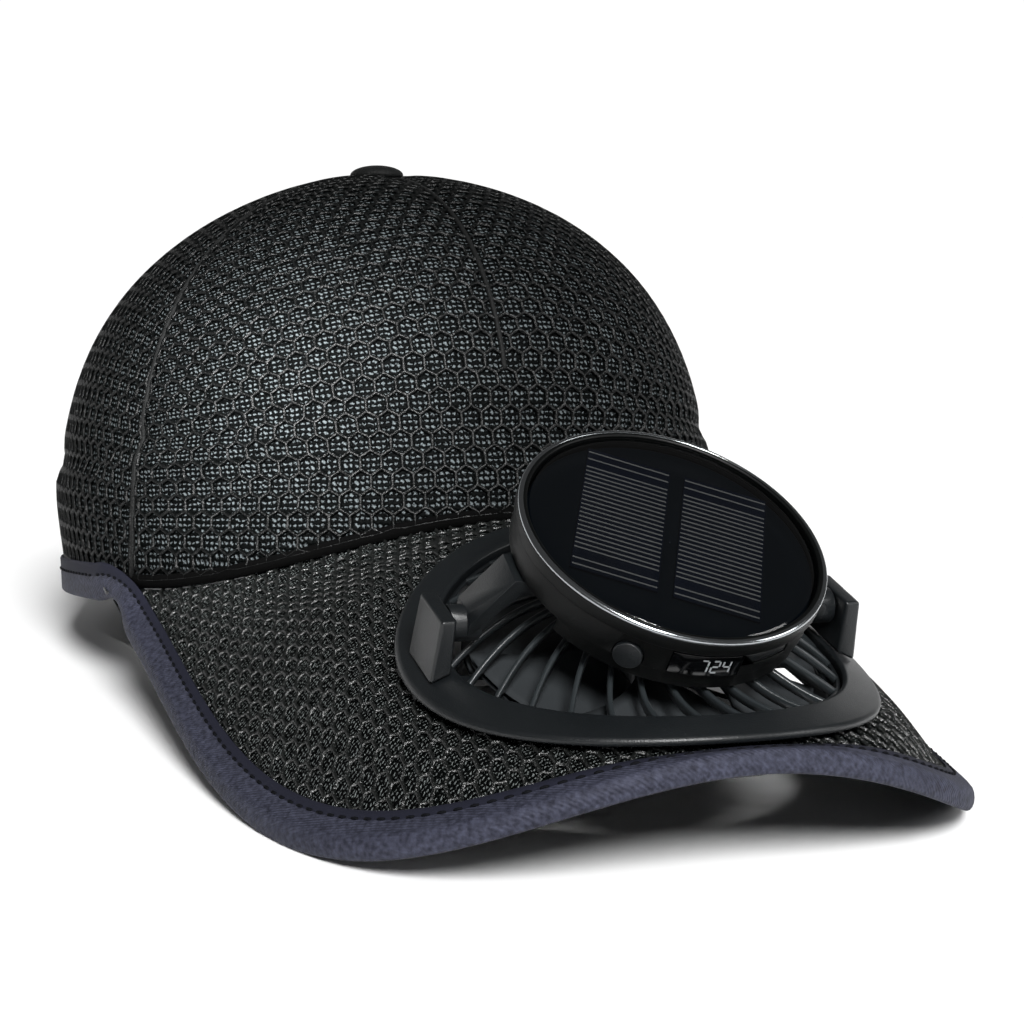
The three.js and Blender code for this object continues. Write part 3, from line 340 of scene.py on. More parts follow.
def flat_cloth(start, end):
    """A panel's flat pattern: maps millimetres (u, v) of cloth to the dome's angle and rise.

    Rows of the cloth are straight on the flat pattern, so on the dome they sag to the sides
    by s (1 - cos(u / s)), where s is the slant length from the row to the crown's axis.
    """
    middle = (start + end) / 2
    rises = np.linspace(0, KNIT_TOP, 500)
    line = plain_crown(np.full(500, middle), rises)
    length = np.concatenate([[0], np.cumsum(np.linalg.norm(np.diff(line, axis=0), axis=1))])
    quarter = middle + (end - start) / 4
    side = plain_crown(quarter + 1e-3, rises) - plain_crown(quarter - 1e-3, rises)
    radius = np.linalg.norm(side, axis=1) / 2e-3
    slope = np.maximum(-np.gradient(radius, length), 1e-3)
    slant = np.clip(radius / slope, 5, 2000)

    def to_dome(flat):
        u, v = flat[:, 0], flat[:, 1]
        along = v.copy()
        for _ in range(8):
            s = np.interp(along, length, slant)
            lean = np.arcsin(np.clip(u / s, -0.95, 0.95))
            along = np.clip(0.5 * along + 0.5 * (v - s * (1 - np.cos(lean))), 0, length[-1])
        turned_by = s * lean / np.interp(along, length, radius)
        return middle + turned_by, np.interp(along, length, rises)

    def to_flat(angle, rise):
        along = np.interp(rise, rises, length)
        s = np.interp(along, length, slant)
        lean = (angle - middle) * np.interp(along, length, radius) / s
        return s * np.sin(lean), along + s * (1 - np.cos(lean))

    return to_dome, to_flat, length[-1]


PANELS = {
    "front_panel": (-FRONT_SEAM, FRONT_SEAM),
    "side_panel_right": (FRONT_SEAM, REAR_SEAM),
    "side_panel_left": (-REAR_SEAM, -FRONT_SEAM),
    "back_panel_right": (REAR_SEAM, np.pi),
    "back_panel_left": (-np.pi, -REAR_SEAM),
}
CELL_WIDTH, CELL_ROW = 5.0, 4.6

for panel, (start, end) in PANELS.items():
    to_dome, to_flat, height = flat_cloth(start, end)
    columns = 2 * int(np.degrees(end - start) / 2) + 1
    rows = 72
    angle = np.linspace(start, end, columns)[None, :]
    share = np.linspace(0, 1, rows)[:, None]
    base = rise_at(np.maximum(foot(angle), 2))
    rise = base + (KNIT_TOP - base) * share
    outer = crown(angle, rise, KNIT_FACE)
    beside_visor = 1 - ease((np.abs(angle[0]) / CORNER - 0.94) / 0.06)
    outer[0, :, 2] = foot(angle[0]) + 0.3 - 1.7 * beside_visor
    inner = crown(angle, rise, KNIT_BACK)
    inner[0, :, 2] = outer[0, :, 2]
    uv = np.stack(to_flat(np.broadcast_to(angle, rise.shape), rise), -1)
    count = rows * columns
    faces = grid_faces(rows, columns) + grid_faces(rows, columns, flip=True, start=count)
    faces += [(i + 1, i, count + i, count + i + 1) for i in range(columns - 1)]
    mesh(
        panel + "_knit", np.concatenate([outer.reshape(-1, 3), inner.reshape(-1, 3)]), faces,
        under_knit, "hat", "mesh", uv=np.concatenate([uv, uv]), nodes=[panel],
    )

    def on_panel(flat):
        angle, rise = to_dome(flat)
        lowest = rise_at(np.maximum(foot(np.clip(angle, start, end)) + 0.6, 2))
        inside_angle = np.clip(angle, start + 0.008, end - 0.008)
        inside_rise = np.clip(rise, lowest, NET_TOP)
        real = (np.abs(inside_angle - angle) < 1e-6) & (np.abs(inside_rise - rise) < 1e-6)
        return crown(inside_angle, inside_rise, NET_DEPTH), real

    def in_panel(flat):
        angle, rise = to_dome(flat)
        return (angle > start) & (angle < end) & (rise < NET_TOP)

    reach = max(HALF_LENGTH, HALF_WIDTH) * (end - start) / 2 + 10
    cells = honeycomb(CELL_WIDTH, CELL_ROW, (-reach, reach), (-5, height + 25))
    net(panel + "_net", cells, on_panel, in_panel, net_black, 1.15)

# Seams of the crown: a narrow turned-over strip of black tape is sewn over each, and another
# over the front dart.


def tube(sections):
    """Points and faces of a closed body through a row of like closed sections."""
    sections = np.asarray(sections, float)
    rows, columns = sections.shape[:2]
    faces = grid_faces(rows, columns, ring=True)
    faces.append(tuple(range(columns))[::-1])
    faces.append(tuple((rows - 1) * columns + i for i in range(columns)))
    return sections.reshape(-1, 3), faces


def merged(bodies):
    """Several (points, faces) bodies as one."""
    points, faces, count = [], [], 0
    for body_points, body_faces in bodies:
        points.append(body_points)
        faces += [tuple(count + i for i in face) for face in body_faces]
        count += len(body_points)
    return np.concatenate(points), faces


# Woven polyester tape, matt: its yarns, 0.7 mm apart, only roughen the light on it.
seam_cloth, _, _ = grained(
    "seam_strip_black", "#0a0b0b", 0.7, 1500, 0.0004, strength=0.8, gloss=0.2
)
SEAM_HALF_WIDTH = 0.7
SEAM_SHAPE = [(-1, -0.6), (-0.9, 0.05), (-0.35, 0.3), (0.35, 0.3), (0.9, 0.05), (1, -0.6)]

strips = []
for bearing, lowest in (
    (FRONT_SEAM, None), (-FRONT_SEAM, None), (REAR_SEAM, None), (-REAR_SEAM, None),
    (np.pi - 1e-4, None), (0.0, 66.0),
):
    base = rise_at(max(lowest or foot(np.array(bearing)) + 1, 2))
    rise = np.linspace(base, NET_TOP, 90)
    around = HALF_LENGTH * np.maximum(crown_share(bearing, rise), 0.05)
    half = SEAM_HALF_WIDTH / around
    sections = [crown(bearing + side * half, rise, lift) for side, lift in SEAM_SHAPE]
    strips.append(tube(np.stack(sections, 1)))
mesh("crown_seams", *merged(strips), seam_cloth, "hat", "mesh")

# Root seam: the cloth of the crown is turned in and sewn down along its foot, where it meets
# the visor.


def facing_out(made):
    """Turns a closed mesh's faces outwards."""
    work = bmesh.new()
    work.from_mesh(made.data)
    bmesh.ops.recalc_face_normals(work, faces=work.faces)
    work.to_mesh(made.data)
    work.free()


# Turned-in cloth in deep shade: black without a gloss.
root_cloth, _, _ = material("root_seam_black", "#020202", 0.9, Specular_IOR_Level=0.05)
root_angle = np.linspace(-0.97, 0.97, 161) * CORNER
root_foot = foot(root_angle)
root_sections = [
    wall(root_angle, root_foot + over, lift)
    for over, lift in (
        (-1.2, -0.9), (-1.2, -0.1), (0, 0.15), (1.4, 0.15), (1.9, -0.1), (1.9, -0.9)
    )
]
facing_out(
    mesh("crown_root_seam", *tube(np.stack(root_sections, 1)), root_cloth, "hat", "mesh")
)

# Top button: a low metal dome covered with the cloth of the seams, riveted through the point
# where the panels meet.

button_lean = np.linspace(0, np.pi / 2, 12)
button_profile = [(7 * np.sin(lean), 115.3 + 2.6 * np.cos(lean)) for lean in button_lean]
button_profile = np.array(button_profile + [(6.8, 114.6), (0.0, 114.6)])
button_angle = np.linspace(0, 2 * np.pi, 48, endpoint=False)[:, None]
button_points = np.stack(
    [button_profile[:, 0] * np.sin(button_angle), button_profile[:, 0] * np.cos(button_angle),
     button_profile[:, 1] + 0 * button_angle], -1,
)
mesh(
    "top_button_cover", button_points, grid_faces(48, len(button_profile), closed=True),
    seam_cloth, "hat", "mesh", nodes=["top_button"],
)

# Visor. A stiff sheet between two layers of knit, with a net of cords on top, sewn to the
# crown's foot. It slopes from the crown and drops at its sides, and takes the bend of the
# fan's flange where that sits on it.

FAN_PITCH_DEGREES = 19.5
FAN_PITCH = np.radians(FAN_PITCH_DEGREES)
FAN_FORWARD = 169.841
FAN_HEIGHT = 17.694
FLANGE_BEND = 0.0047
VISOR_FRONT = 218.782
SEAT_RADIUS, NET_HOLE, KNIT_HOLE = 49.1, 44.5, 43


def edge_line(count):
    """The visor's edge from the wearer's right corner to the left one, evenly spaced.

    Half its width is 78.9 (1 - s^3.79)^0.45, with s the share of the way to its front.
    """
    sweep = np.sin(np.linspace(0, np.pi / 2, 200))
    x = -VISOR_HALF_WIDTH * np.maximum(1 - sweep**3.79, 0) ** 0.45
    y = -75 - (VISOR_FRONT - 75) * sweep
    corner = plain_crown(CORNER, ROOT_RISE)
    side = np.concatenate([[(corner[0] - CLOTH, corner[1])], np.stack([x, y], -1)])
    line = np.concatenate([side, side[-2::-1] * (-1, 1)])
    length = np.concatenate([[0], np.cumsum(np.linalg.norm(np.diff(line, axis=0), axis=1))])
    even = np.linspace(0, length[-1], count)
    return np.stack([np.interp(even, length, line[:, i]) for i in (0, 1)], -1)


def distance(line, x, y):
    """Shortest distance in plan from points to a line of points."""
    spots = np.stack([np.ravel(x), np.ravel(y)], -1)
    a, step = line[:-1], np.diff(line, axis=0)
    nearest = np.full(len(spots), np.inf)
    for start, leg in zip(a, step):
        share = np.clip(((spots - start) @ leg) / (leg @ leg), 0, 1)
        gap = np.linalg.norm(spots - start - share[:, None] * leg, axis=1)
        nearest = np.minimum(nearest, gap)
    return nearest.reshape(np.shape(x))


EDGE_PLAN = edge_line(160)
WALL_PLAN = plain_crown(np.linspace(-1.1, 1.1, 41) * CORNER, ROOT_RISE)[:, :2]


def seat_height(x, y):
    """Height of the fan's seat: its plane, 3.1 mm under the fan's origin, less 0.0047 x^2."""
    forward = y + FAN_FORWARD
    drop = (3.1 + FLANGE_BEND * x**2) / np.cos(FAN_PITCH)
    return FAN_HEIGHT + np.tan(FAN_PITCH) * forward - drop


def from_fan(x, y):
    """Distance from the fan's axis on its seat."""
    lift = seat_height(x, y) - FAN_HEIGHT
    return np.hypot(x, np.cos(FAN_PITCH) * (y + FAN_FORWARD) + np.sin(FAN_PITCH) * lift)


def visor_height(x, y):
    """The arch, blended to the fan's seat by the distances to seat, edge and crown."""
    inside = np.maximum(from_fan(x, y) - SEAT_RADIUS, 0)
    outside = np.minimum(distance(EDGE_PLAN, x, y), distance(WALL_PLAN, x, y))
    share = np.where(inside > 0, outside**2 / (inside**2 + outside**2 + 1e-9), 1)
    return arch(x, y) * (1 - share) + seat_height(x, y) * share


ARCH_X = np.linspace(-90, 90, 721)
ARCH_LENGTH = np.concatenate(
    [[0], np.cumsum(np.hypot(np.diff(ARCH_X), np.diff(arch(ARCH_X, -150.0))))]
)
ARCH_LENGTH -= np.interp(0, ARCH_X, ARCH_LENGTH)

visor_rows, visor_columns = 70, 181
seam_angle = np.linspace(CORNER, -CORNER, visor_columns)
seam_line = wall(seam_angle, foot(seam_angle), -CLOTH)[:, :2]
share = np.linspace(0, 1, visor_rows)[:, None, None]
plan = seam_line[None] * (1 - share) + edge_line(visor_columns)[None] * share
px, py = plan[..., 0], plan[..., 1]
top = np.stack([px, py, visor_height(px, py) + KNIT_FACE], -1)
bottom = np.stack([px, py, top[..., 2] - 1.3], -1)
count = visor_rows * visor_columns
reach = from_fan(px, py).ravel()
faces = [
    face
    for face in grid_faces(visor_rows, visor_columns)
    if reach[list(face)].mean() > KNIT_HOLE
]
faces += [tuple(count + i for i in face[::-1]) for face in faces]
uv = np.stack([np.interp(px, ARCH_X, ARCH_LENGTH), py], -1)
# The same polyester in a finer knit, its threads 0.8 mm apart across and 0.9 mm along.
visor_knit = knit("knit_of_visor", "#020303", "#6a6f6e", 0.8, 0.9, 0.6, 0.46)
mesh(
    "visor_knit", np.concatenate([top.reshape(-1, 3), bottom.reshape(-1, 3)]), faces,
    visor_knit, "hat", "mesh", uv=np.concatenate([uv, uv]), nodes=["visor"],
)

VISOR_CELL, VISOR_ROW = 3.2, 4.4
# Smooth black filaments, 0.7 mm apart, shine where they face the light.
visor_cord, _, _ = grained(
    "visor_cord_black", "#101211", 0.3, 1400, 0.0006, strength=0.9, gloss=1.0
)


def on_visor(flat):
    """Points of the visor's top at flat places: along its arch and forward."""
    x = np.interp(flat[:, 0], ARCH_LENGTH, ARCH_X)
    y = flat[:, 1]
    z = visor_height(x, y) - 0.3
    return np.stack([x, y, z], -1), np.ones(len(flat), bool)


def in_visor(flat):
    """Whether a cell lies between the crown, the tape and the fan's hole."""
    x = np.interp(flat[:, 0], ARCH_LENGTH, ARCH_X)
    y = flat[:, 1]
    clear = distance(EDGE_PLAN, x, y) > 3
    width = np.interp(-y, -edge_half[:, 1], edge_half[:, 0])
    crown_front = -HALF_LENGTH * np.sqrt(np.maximum(1 - (x / HALF_WIDTH) ** 2, 0))
    inside = (np.abs(x) < width) & (y < crown_front - 0.4) & (y > -VISOR_FRONT)
    return clear & inside & (from_fan(x, y) > NET_HOLE)


edge_half = edge_line(400)
edge_half = edge_half[edge_half[:, 0] >= 0]
edge_half = edge_half[np.argsort(-edge_half[:, 1])]
cells = honeycomb(VISOR_CELL, VISOR_ROW, (-110, 110), (-VISOR_FRONT, -30))
net("visor_net", cells, on_visor, in_visor, visor_cord, 1.05)

# Binding tape: dense twill folded round the visor's edge and round the hem, and sewn on with
# one line of stitches near its inner border.

# Dark blue polyester twill, matt, with diagonal ridges about 0.7 mm apart and yarns of two
# shades.
tape, tape_tree, tape_shader = material(
    "twill_tape_navy", "#22232e", 0.7, Specular_IOR_Level=0.2
)
tape_place = add(tape_tree, "ShaderNodeTexCoord").outputs["Object"]
tape_bands = add(
    tape_tree, "ShaderNodeTexWave",
    {"Vector": tape_place, "Scale": 560.0, "Distortion": 2.5, "Detail": 2.0},
    bands_direction="DIAGONAL",
)
tape_yarns = add(
    tape_tree, "ShaderNodeTexNoise", {"Vector": tape_place, "Scale": 900.0, "Detail": 3.0}
)
tape_height = add(
    tape_tree, "ShaderNodeMath", {0: tape_bands.outputs[1], 1: tape_yarns}, operation="ADD"
)
tape_bumps = add(
    tape_tree, "ShaderNodeBump", {"Height": tape_height, "Distance": 0.00015, "Strength": 0.7}
)
tape_ramp = add(tape_tree, "ShaderNodeValToRGB", {"Fac": tape_yarns})
tape_ramp.color_ramp.elements[0].position = 0.3
tape_ramp.color_ramp.elements[0].color = linear("#1e1f2a")
tape_ramp.color_ramp.elements[1].position = 0.75
tape_ramp.color_ramp.elements[1].color = linear("#3f4150")
feed(tape_tree, tape_shader, {"Base Color": tape_ramp, "Normal": tape_bumps})
# The tape's flat selvedge: darker, with no ridges.
tape_border, _, _ = material("tape_border_navy", "#1b1c27", 0.75, Specular_IOR_Level=0.15)

# One ribbon runs round the visor's edge and on round the hem. Each of its sections is a list
# of (share of its width, lift) over the top, round the fold and back underneath.
OVER = [(1, 0.4), (1, 0.85), (0.94, 1.15), (0.68, 1.2), (0.6, 1.1), (0.5, 1.3), (0, 1.3)]
UNDER = [(0, 1.3), (0.3, 1.3), (0.6, 1.3), (0.9, 1.2), (1, 0.85), (1, 0.4), (0.1, 0.35)]
FOLD = np.radians(np.linspace(70, -70, 7))


def visor_ribbon(edge, inward, width):
    """Sections of the tape along the visor's edge: over, round a half circle and back under."""
    step = 0.5
    x, y = edge.T
    slope_x = (visor_height(x + step, y) - visor_height(x - step, y)) / (2 * step)
    slope_y = (visor_height(x, y + step) - visor_height(x, y - step)) / (2 * step)
    depth = 2 * np.minimum(np.sqrt(1 + slope_x**2 + slope_y**2), 2)
    rings = []
    for sign, rows in ((1, OVER), (-1, UNDER)):
        for share, lift in rows:
            spot = edge + inward * width * share
            level = visor_height(spot[:, 0], spot[:, 1])
            level = level + lift if sign > 0 else level - depth - lift
            rings.append(np.column_stack([spot, level]))
        if sign > 0:
            middle = visor_height(x, y) - depth / 2
            for lean in FOLD:
                spot = edge - inward * 1.3 * np.cos(lean)
                level = middle + (depth / 2 + 1.3) * np.sin(lean)
                rings.append(np.column_stack([spot, level]))
    return np.stack(rings, 1)


def hem_ribbon(angle, level, width):
    """Sections of the tape along the crown's hem, folded in the same way."""
    rings = [wall(angle, level + width * share, lift) for share, lift in OVER]
    rings += [
        wall(angle, level - 1.2 * np.cos(lean), -0.8 + 2.1 * np.sin(lean)) for lean in FOLD
    ]
    rings += [wall(angle, level + width * share, -CLOTH - lift) for share, lift in UNDER]
    return np.stack(rings, 1)


HEM_WIDTH, VISOR_TAPE = 8.2, 4.4
edge = edge_line(440)
tangent = np.gradient(edge, axis=0)
tangent /= np.linalg.norm(tangent, axis=1, keepdims=True)
inward = np.stack([-tangent[:, 1], tangent[:, 0]], -1)
inward *= np.sign(np.sum(inward * (np.array([0, -130]) - edge), 1))[:, None]
visor_part = visor_ribbon(edge[20:-20], inward[20:-20], VISOR_TAPE)
HEM_START, EDGE_START = CORNER * 1.09, CORNER * 0.97
hem_angle = np.linspace(HEM_START, 2 * np.pi - HEM_START, 280)
hem_angle = np.where(hem_angle > np.pi, hem_angle - 2 * np.pi, hem_angle)
hem_part = hem_ribbon(hem_angle, foot(hem_angle), HEM_WIDTH)
# Round each corner the ribbon turns over from the crown's wall to the visor's top.
steps = np.linspace(0, 1, 26)
weight = ease((steps - 0.08) / 0.84)[:, None, None]
corners = []
for side in (1, -1):
    angle = side * CORNER * (1.09 - 0.16 * steps)
    level = foot(side * HEM_START) * (1 - steps) + foot(side * EDGE_START) * steps
    on_hem = hem_ribbon(angle, level, HEM_WIDTH - 2.5 * steps)
    index = np.round(1 + 19 * steps).astype(int)
    index = index if side > 0 else -1 - index
    on_edge = visor_ribbon(edge[index], inward[index], VISOR_TAPE)
    corners.append(on_hem * (1 - weight) + on_edge * weight)
ribbon = np.concatenate(
    [corners[0][:-1], visor_part, corners[1][:-1][::-1], hem_part[::-1][1:-1]]
)
ribbon_rows, ribbon_columns = ribbon.shape[:2]
ribbon_faces = grid_faces(ribbon_rows, ribbon_columns, ring=True, closed=True)
binding = mesh("binding_tape", ribbon, ribbon_faces, tape, "hat", "tape",
               nodes=["visor_binding", "hem_binding"])
binding.data.materials.append(tape_border)
binding.data.polygons.foreach_set(
    "material_index", [int(i % ribbon_columns < 4) for i in range(len(ribbon_faces))]
)
facing_out(binding)

# Black sewing thread: matt filament.
thread, _, _ = material("sewing_thread_black", "#08090d", 0.8, Specular_IOR_Level=0.1)


def stitches(name, line, up, length, gap, radius):
    """Short rounded stitches along a line of points, lying on the cloth."""
    steps = np.concatenate([[0], np.cumsum(np.linalg.norm(np.diff(line, axis=0), axis=1))])
    starts = np.arange(0, steps[-1] - length, length + gap)
    bodies = []
    for begin in starts:
        along = begin + length * np.array([0, 0.15, 0.5, 0.85, 1])
        centre = np.stack([np.interp(along, steps, line[:, i]) for i in range(3)], -1)
        lift = np.array([np.interp(begin, steps, up[:, i]) for i in range(3)])
        lift /= np.linalg.norm(lift)
        ahead = centre[-1] - centre[0]
        across = np.cross(ahead, lift)
        across /= np.linalg.norm(across)
        thick = radius * np.array([0.3, 0.85, 1, 0.85, 0.3])
        height = radius * np.array([-0.8, 0, 0.35, 0, -0.8])
        ring = []
        for turn_by in np.linspace(0, 2 * np.pi, 6, endpoint=False):
            out = across * np.cos(turn_by) + lift * np.sin(turn_by)
            ring.append(centre + lift * height[:, None] + out * thick[:, None])
        bodies.append(tube(np.stack(ring, 1)))
    mesh(name, *merged(bodies), thread, "hat", "tape")


outer_face = ribbon[:, :7]
stitch_line = outer_face[:, 3] * 0.3 + outer_face[:, 4] * 0.7
stitch_up = np.cross(
    np.gradient(stitch_line, axis=0), outer_face[:, 4] - outer_face[:, 3]
)
UNDER_CAP = (0, -20, -30)
stitch_up *= np.sign(np.sum(stitch_up * (stitch_line - UNDER_CAP), 1))[:, None]
stitch_up /= np.linalg.norm(stitch_up, axis=1, keepdims=True)
stitches("tape_stitches", stitch_line, stitch_up, 2.2, 1.1, 0.36)

# Sweatband: a soft band of folded cloth, sewn in round the inside of the crown's hem.

# Brushed cotton: dull black.
band_cloth, _, _ = material("sweatband_cloth", "#141516", 0.85)
band_angle = np.linspace(-np.pi, np.pi, 240, endpoint=False)
band_start = 0.4 + 9.3 * ease((np.abs(band_angle) / CORNER - 0.72) / 0.24)
band_foot = foot(band_angle)
BAND_HEIGHT, BAND_OUTER, BAND_INNER = 30, -2.3, -3.2
shares = np.linspace(0, 1, 7)
sections = [
    wall(band_angle, band_foot + band_start * (1 - share) + BAND_HEIGHT * share, offset)
    for row, offset in ((shares, BAND_OUTER), (shares[::-1], BAND_INNER))
    for share in row
]
band_points = np.stack(sections, 1)
band_faces = grid_faces(240, 14, ring=True, closed=True)
facing_out(
    mesh("sweatband_cloth", band_points, band_faces, band_cloth, "hat", "band",
         nodes=["sweatband"])
)

# Fan ring and clamp ring: moulded ABS. The flange sits on the visor with its collar through
# the hole, and the clamp ring holds it from below. FAN puts the fan in the visor.

FAN = CAP @ move(0, -FAN_FORWARD, FAN_HEIGHT) @ turn("X", FAN_PITCH_DEGREES)


def rounded(profile, radius, steps=4):
    """A closed [radius, height] outline with its corners rounded."""
    points = np.asarray(profile, float)
    out = []
    for before, corner, after in zip(np.roll(points, 1, 0), points, np.roll(points, -1, 0)):
        legs = [before - corner, after - corner]
        reach = min([radius] + [np.linalg.norm(leg) * 0.45 for leg in legs])
        ends = [corner + leg / np.linalg.norm(leg) * reach for leg in legs]
        for t in np.linspace(0, 1, steps):
            out.append((1 - t) ** 2 * ends[0] + 2 * t * (1 - t) * corner + t**2 * ends[1])
    return np.array(out)


def turned(name, profile, finish, body, slot, place, nodes=(), segments=144, radius=0.35):
    """A turned ring from a closed outline of (radius, height) corners.

    A third number at each corner is its share of the bend that the flange has.
    """
    outline = rounded(profile, radius)
    angle = np.linspace(0, 2 * np.pi, segments, endpoint=False)[:, None]
    x = outline[:, 0] * np.sin(angle)
    height = outline[:, 1] + 0 * angle
    if outline.shape[1] == 3:
        height = height - outline[:, 2] * FLANGE_BEND * x**2
    points = np.stack([x, -outline[:, 0] * np.cos(angle), height], -1)
    faces = grid_faces(segments, len(outline), ring=True, closed=True)
    return mesh(name, points, faces, finish, body, slot, place, nodes=nodes)


def plastic(name, colour, roughness, depth, gloss=0.5):
    """Moulded plastic: a grain of 0.3 mm, and patches of 11 mm that are a little duller."""
    made, tree, shader = grained(
        name, colour, roughness, 3500, depth, detail=2.0, gloss=gloss
    )
    place = add(tree, "ShaderNodeTexCoord").outputs["Object"]
    patches = add(tree, "ShaderNodeTexNoise", {"Vector": place, "Scale": 90.0, "Detail": 3.0})
    spread = add(
        tree, "ShaderNodeMapRange",
        {"Value": patches, "To Min": roughness - 0.06, "To Max": roughness + 0.06},
    )
    feed(tree, shader, {"Roughness": spread})
    return made


# ABS with a fine spark-eroded grain: satin black.
black_plastic = plastic("plastic_satin_black", "#0f1214", 0.38, 0.00006)


def bent(name, profile, nodes=()):
    """A ring of the fan that follows the flange's bend."""
    facing_out(
        turned(name, profile, black_plastic, "hat", "plastic", FAN, nodes=nodes, segments=160)
    )


bent(
    "fan_flange",
    [(40.2, -12.9, 0.8), (41.6, -12.9, 0.8), (41.6, -1.5, 1), (48.1, -1.5, 1), (48.1, -0.5, 1),
     (47.5, 0, 1), (41, 0.6, 1), (40.2, 0.1, 1)],
    nodes=["fan_ring"],
)
bent(
    "clamp_ring_smooth",
    [(41.9, -8.44, 1), (44.9, -8.44, 1), (44.9, -6.94, 1), (41.9, -6.94, 1)],
    nodes=["clamp_ring"],
)

# Guard: one moulding of thirty ribs between a hoop and a hub, pressed into the ring's mouth.
# The ribs rise steeply at the sides and stay low in front.

# The same ABS from a polished mould: smoother. Its colour is a little paler than the ABS's own,
# painted light for the light that the ribs catch.
rib_plastic_painted_lit = plastic("plastic_rib_painted_lit", "#24282a", 0.3, 0.00002)
HOOP, HUB = 39.9, 13
RIB_SHAPE = [
    (-0.55, 1.8), (-0.55, 0.35), (-0.4, 0.08), (0, 0), (0.4, 0.08), (0.55, 0.35), (0.55, 1.8)
]


def rib_top(radius, bearing):
    """End + (4.5 - end) (1 - q^2)^e, with q from hub to hoop and e larger in front."""
    share = (radius - HUB) / (HOOP - HUB)
    flat = 1 + 4.4 * np.maximum(np.cos(bearing), 0) ** 6
    end = -1.3 - FLANGE_BEND * (HOOP * np.sin(bearing)) ** 2
    return end + (4.5 - end) * np.maximum(1 - share**2, 0) ** flat


ribs = []
for rib in range(30):
    share = np.linspace(0, 1, 26) ** 1.4
    radius = HOOP - 0.4 + (HUB - 1 - HOOP + 0.4) * share
    bearing = (rib + 0.5) / 30 * 2 * np.pi + np.radians(14) * share
    out = np.stack([-np.sin(bearing), -np.cos(bearing), 0 * bearing], -1)
    across = np.stack([-out[:, 1], out[:, 0], 0 * bearing], -1)
    height = rib_top(radius, bearing)
    centre = out * radius[:, None]
    sections = []
    for side, drop in RIB_SHAPE:
        point = centre + across * side
        point[:, 2] = height - drop
        sections.append(point)
    ribs.append(tube(np.stack(sections, 1)))
facing_out(
    mesh("guard_ribs", *merged(ribs), rib_plastic_painted_lit, "hat", "plastic", FAN, nodes=["guard"])
)
bent("guard_hoop", [(38.9, -3.3, 1), (39.9, -3.3, 1), (39.9, -1.3, 1), (38.9, -1.3, 1)])
turned("guard_hub", [(0.02, 2.5), (13, 2.5), (13, 4.5), (0.02, 4.5)], black_plastic, "hat",
       "plastic", FAN)

# Rotor: a cup-shaped hub with seven broad blades, moulded in one and pressed on the motor's
# axle.

# Grey ABS, satin.
blade_plastic = plastic("plastic_blade_grey", "#2b2e30", 0.45, 0.00004)
BLADE_ROOT, BLADE_TIP = 9.5, 35
blades = []
for blade in range(7):
    u, v = np.meshgrid(np.linspace(0, 1, 14), np.linspace(0, 1, 12))
    radius = BLADE_ROOT + (BLADE_TIP - BLADE_ROOT) * u
    chord = np.radians(44 + 12 * u)
    bearing = blade / 7 * 2 * np.pi + np.radians(16) * u**2 + chord * (v - 0.5)
    height = -9.6 * (1 - v) + (-2.7 - 4.2 * u) * v
    face = np.stack([-np.sin(bearing) * radius, -np.cos(bearing) * radius, height], -1)
    under = face - np.array([0, 0, 1.2])
    loop = np.concatenate([face, under[::-1]], 0)
    blades.append(tube(np.swapaxes(loop, 0, 1)))
facing_out(
    mesh("rotor_blades", *merged(blades), blade_plastic, "rotor", "blades", FAN,
         nodes=["fan_rotor"])
)
turned(
    "rotor_hub",
    [(0.02, -2.7), (8.5, -2.7), (8.5, -11.1), (10.5, -11.1), (10.5, -1.2), (0.02, -1.2)],
    blade_plastic, "rotor", "blades", FAN, radius=0.8,
)

# Motor mount: the under guard, moulded with its spokes and a middle ring, and the motor's can
# in its middle.

turned("mount_ring", [(38.3, -12.8), (39.9, -12.8), (39.9, -11.4), (38.3, -11.4)],
       black_plastic, "hat", "plastic", FAN, nodes=["motor_mount"])
turned("mount_middle_ring", [(24.7, -12.8), (26.3, -12.8), (26.3, -11.4), (24.7, -11.4)],
       black_plastic, "hat", "plastic", FAN)
turned(
    "motor_can",
    [(0.02, -12.8), (10.5, -12.8), (10.5, -11.4), (7.8, -11.4), (7.8, -4.5), (0.02, -4.5)],
    black_plastic, "hat", "plastic", FAN,
)
spokes = []
for spoke in range(8):
    bearing = spoke / 8 * 2 * np.pi
    out = np.array([np.cos(bearing), np.sin(bearing), 0])
    across = np.array([-np.sin(bearing), np.cos(bearing), 0])
    ends = []
    for radius in (8, 38.9):
        ends.append([
            out * radius + across * side + (0, 0, level)
            for side, level in ((-1, -12.75), (1, -12.75), (1, -11.45), (-1, -11.45))
        ])
    spokes.append(tube(ends))
facing_out(mesh("mount_spokes", *merged(spokes), black_plastic, "hat", "plastic", FAN,
                smooth=False))

# Posts and pivots: mouldings of the same ABS, the posts fixed to the flange and the arms to
# the solar head. The CAD solids are kept in shape; a bevel rounds their edges.


def softened(node, name, body, finish, width):
    """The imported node's own solid with rounded edges."""
    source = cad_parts[node]
    made = bpy.data.objects.new(name, source.data.copy())
    made.data.materials.clear()
    made.data.materials.append(finish)
    bpy.context.scene.collection.objects.link(made)
    work = bmesh.new()
    work.from_mesh(made.data)
    bmesh.ops.remove_doubles(work, verts=work.verts, dist=1e-6)
    bmesh.ops.dissolve_limit(work, angle_limit=0.02, verts=work.verts, edges=work.edges)
    work.to_mesh(made.data)
    work.free()
    made.data.polygons.foreach_set("use_smooth", [True] * len(made.data.polygons))
    edges = made.modifiers.new("edges", "BEVEL")
    edges.width = width * 0.001
    edges.segments = 3
    edges.limit_method = "ANGLE"
    edges.angle_limit = np.radians(35)
    edges.harden_normals = True
    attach(made, body)
    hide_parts(node)


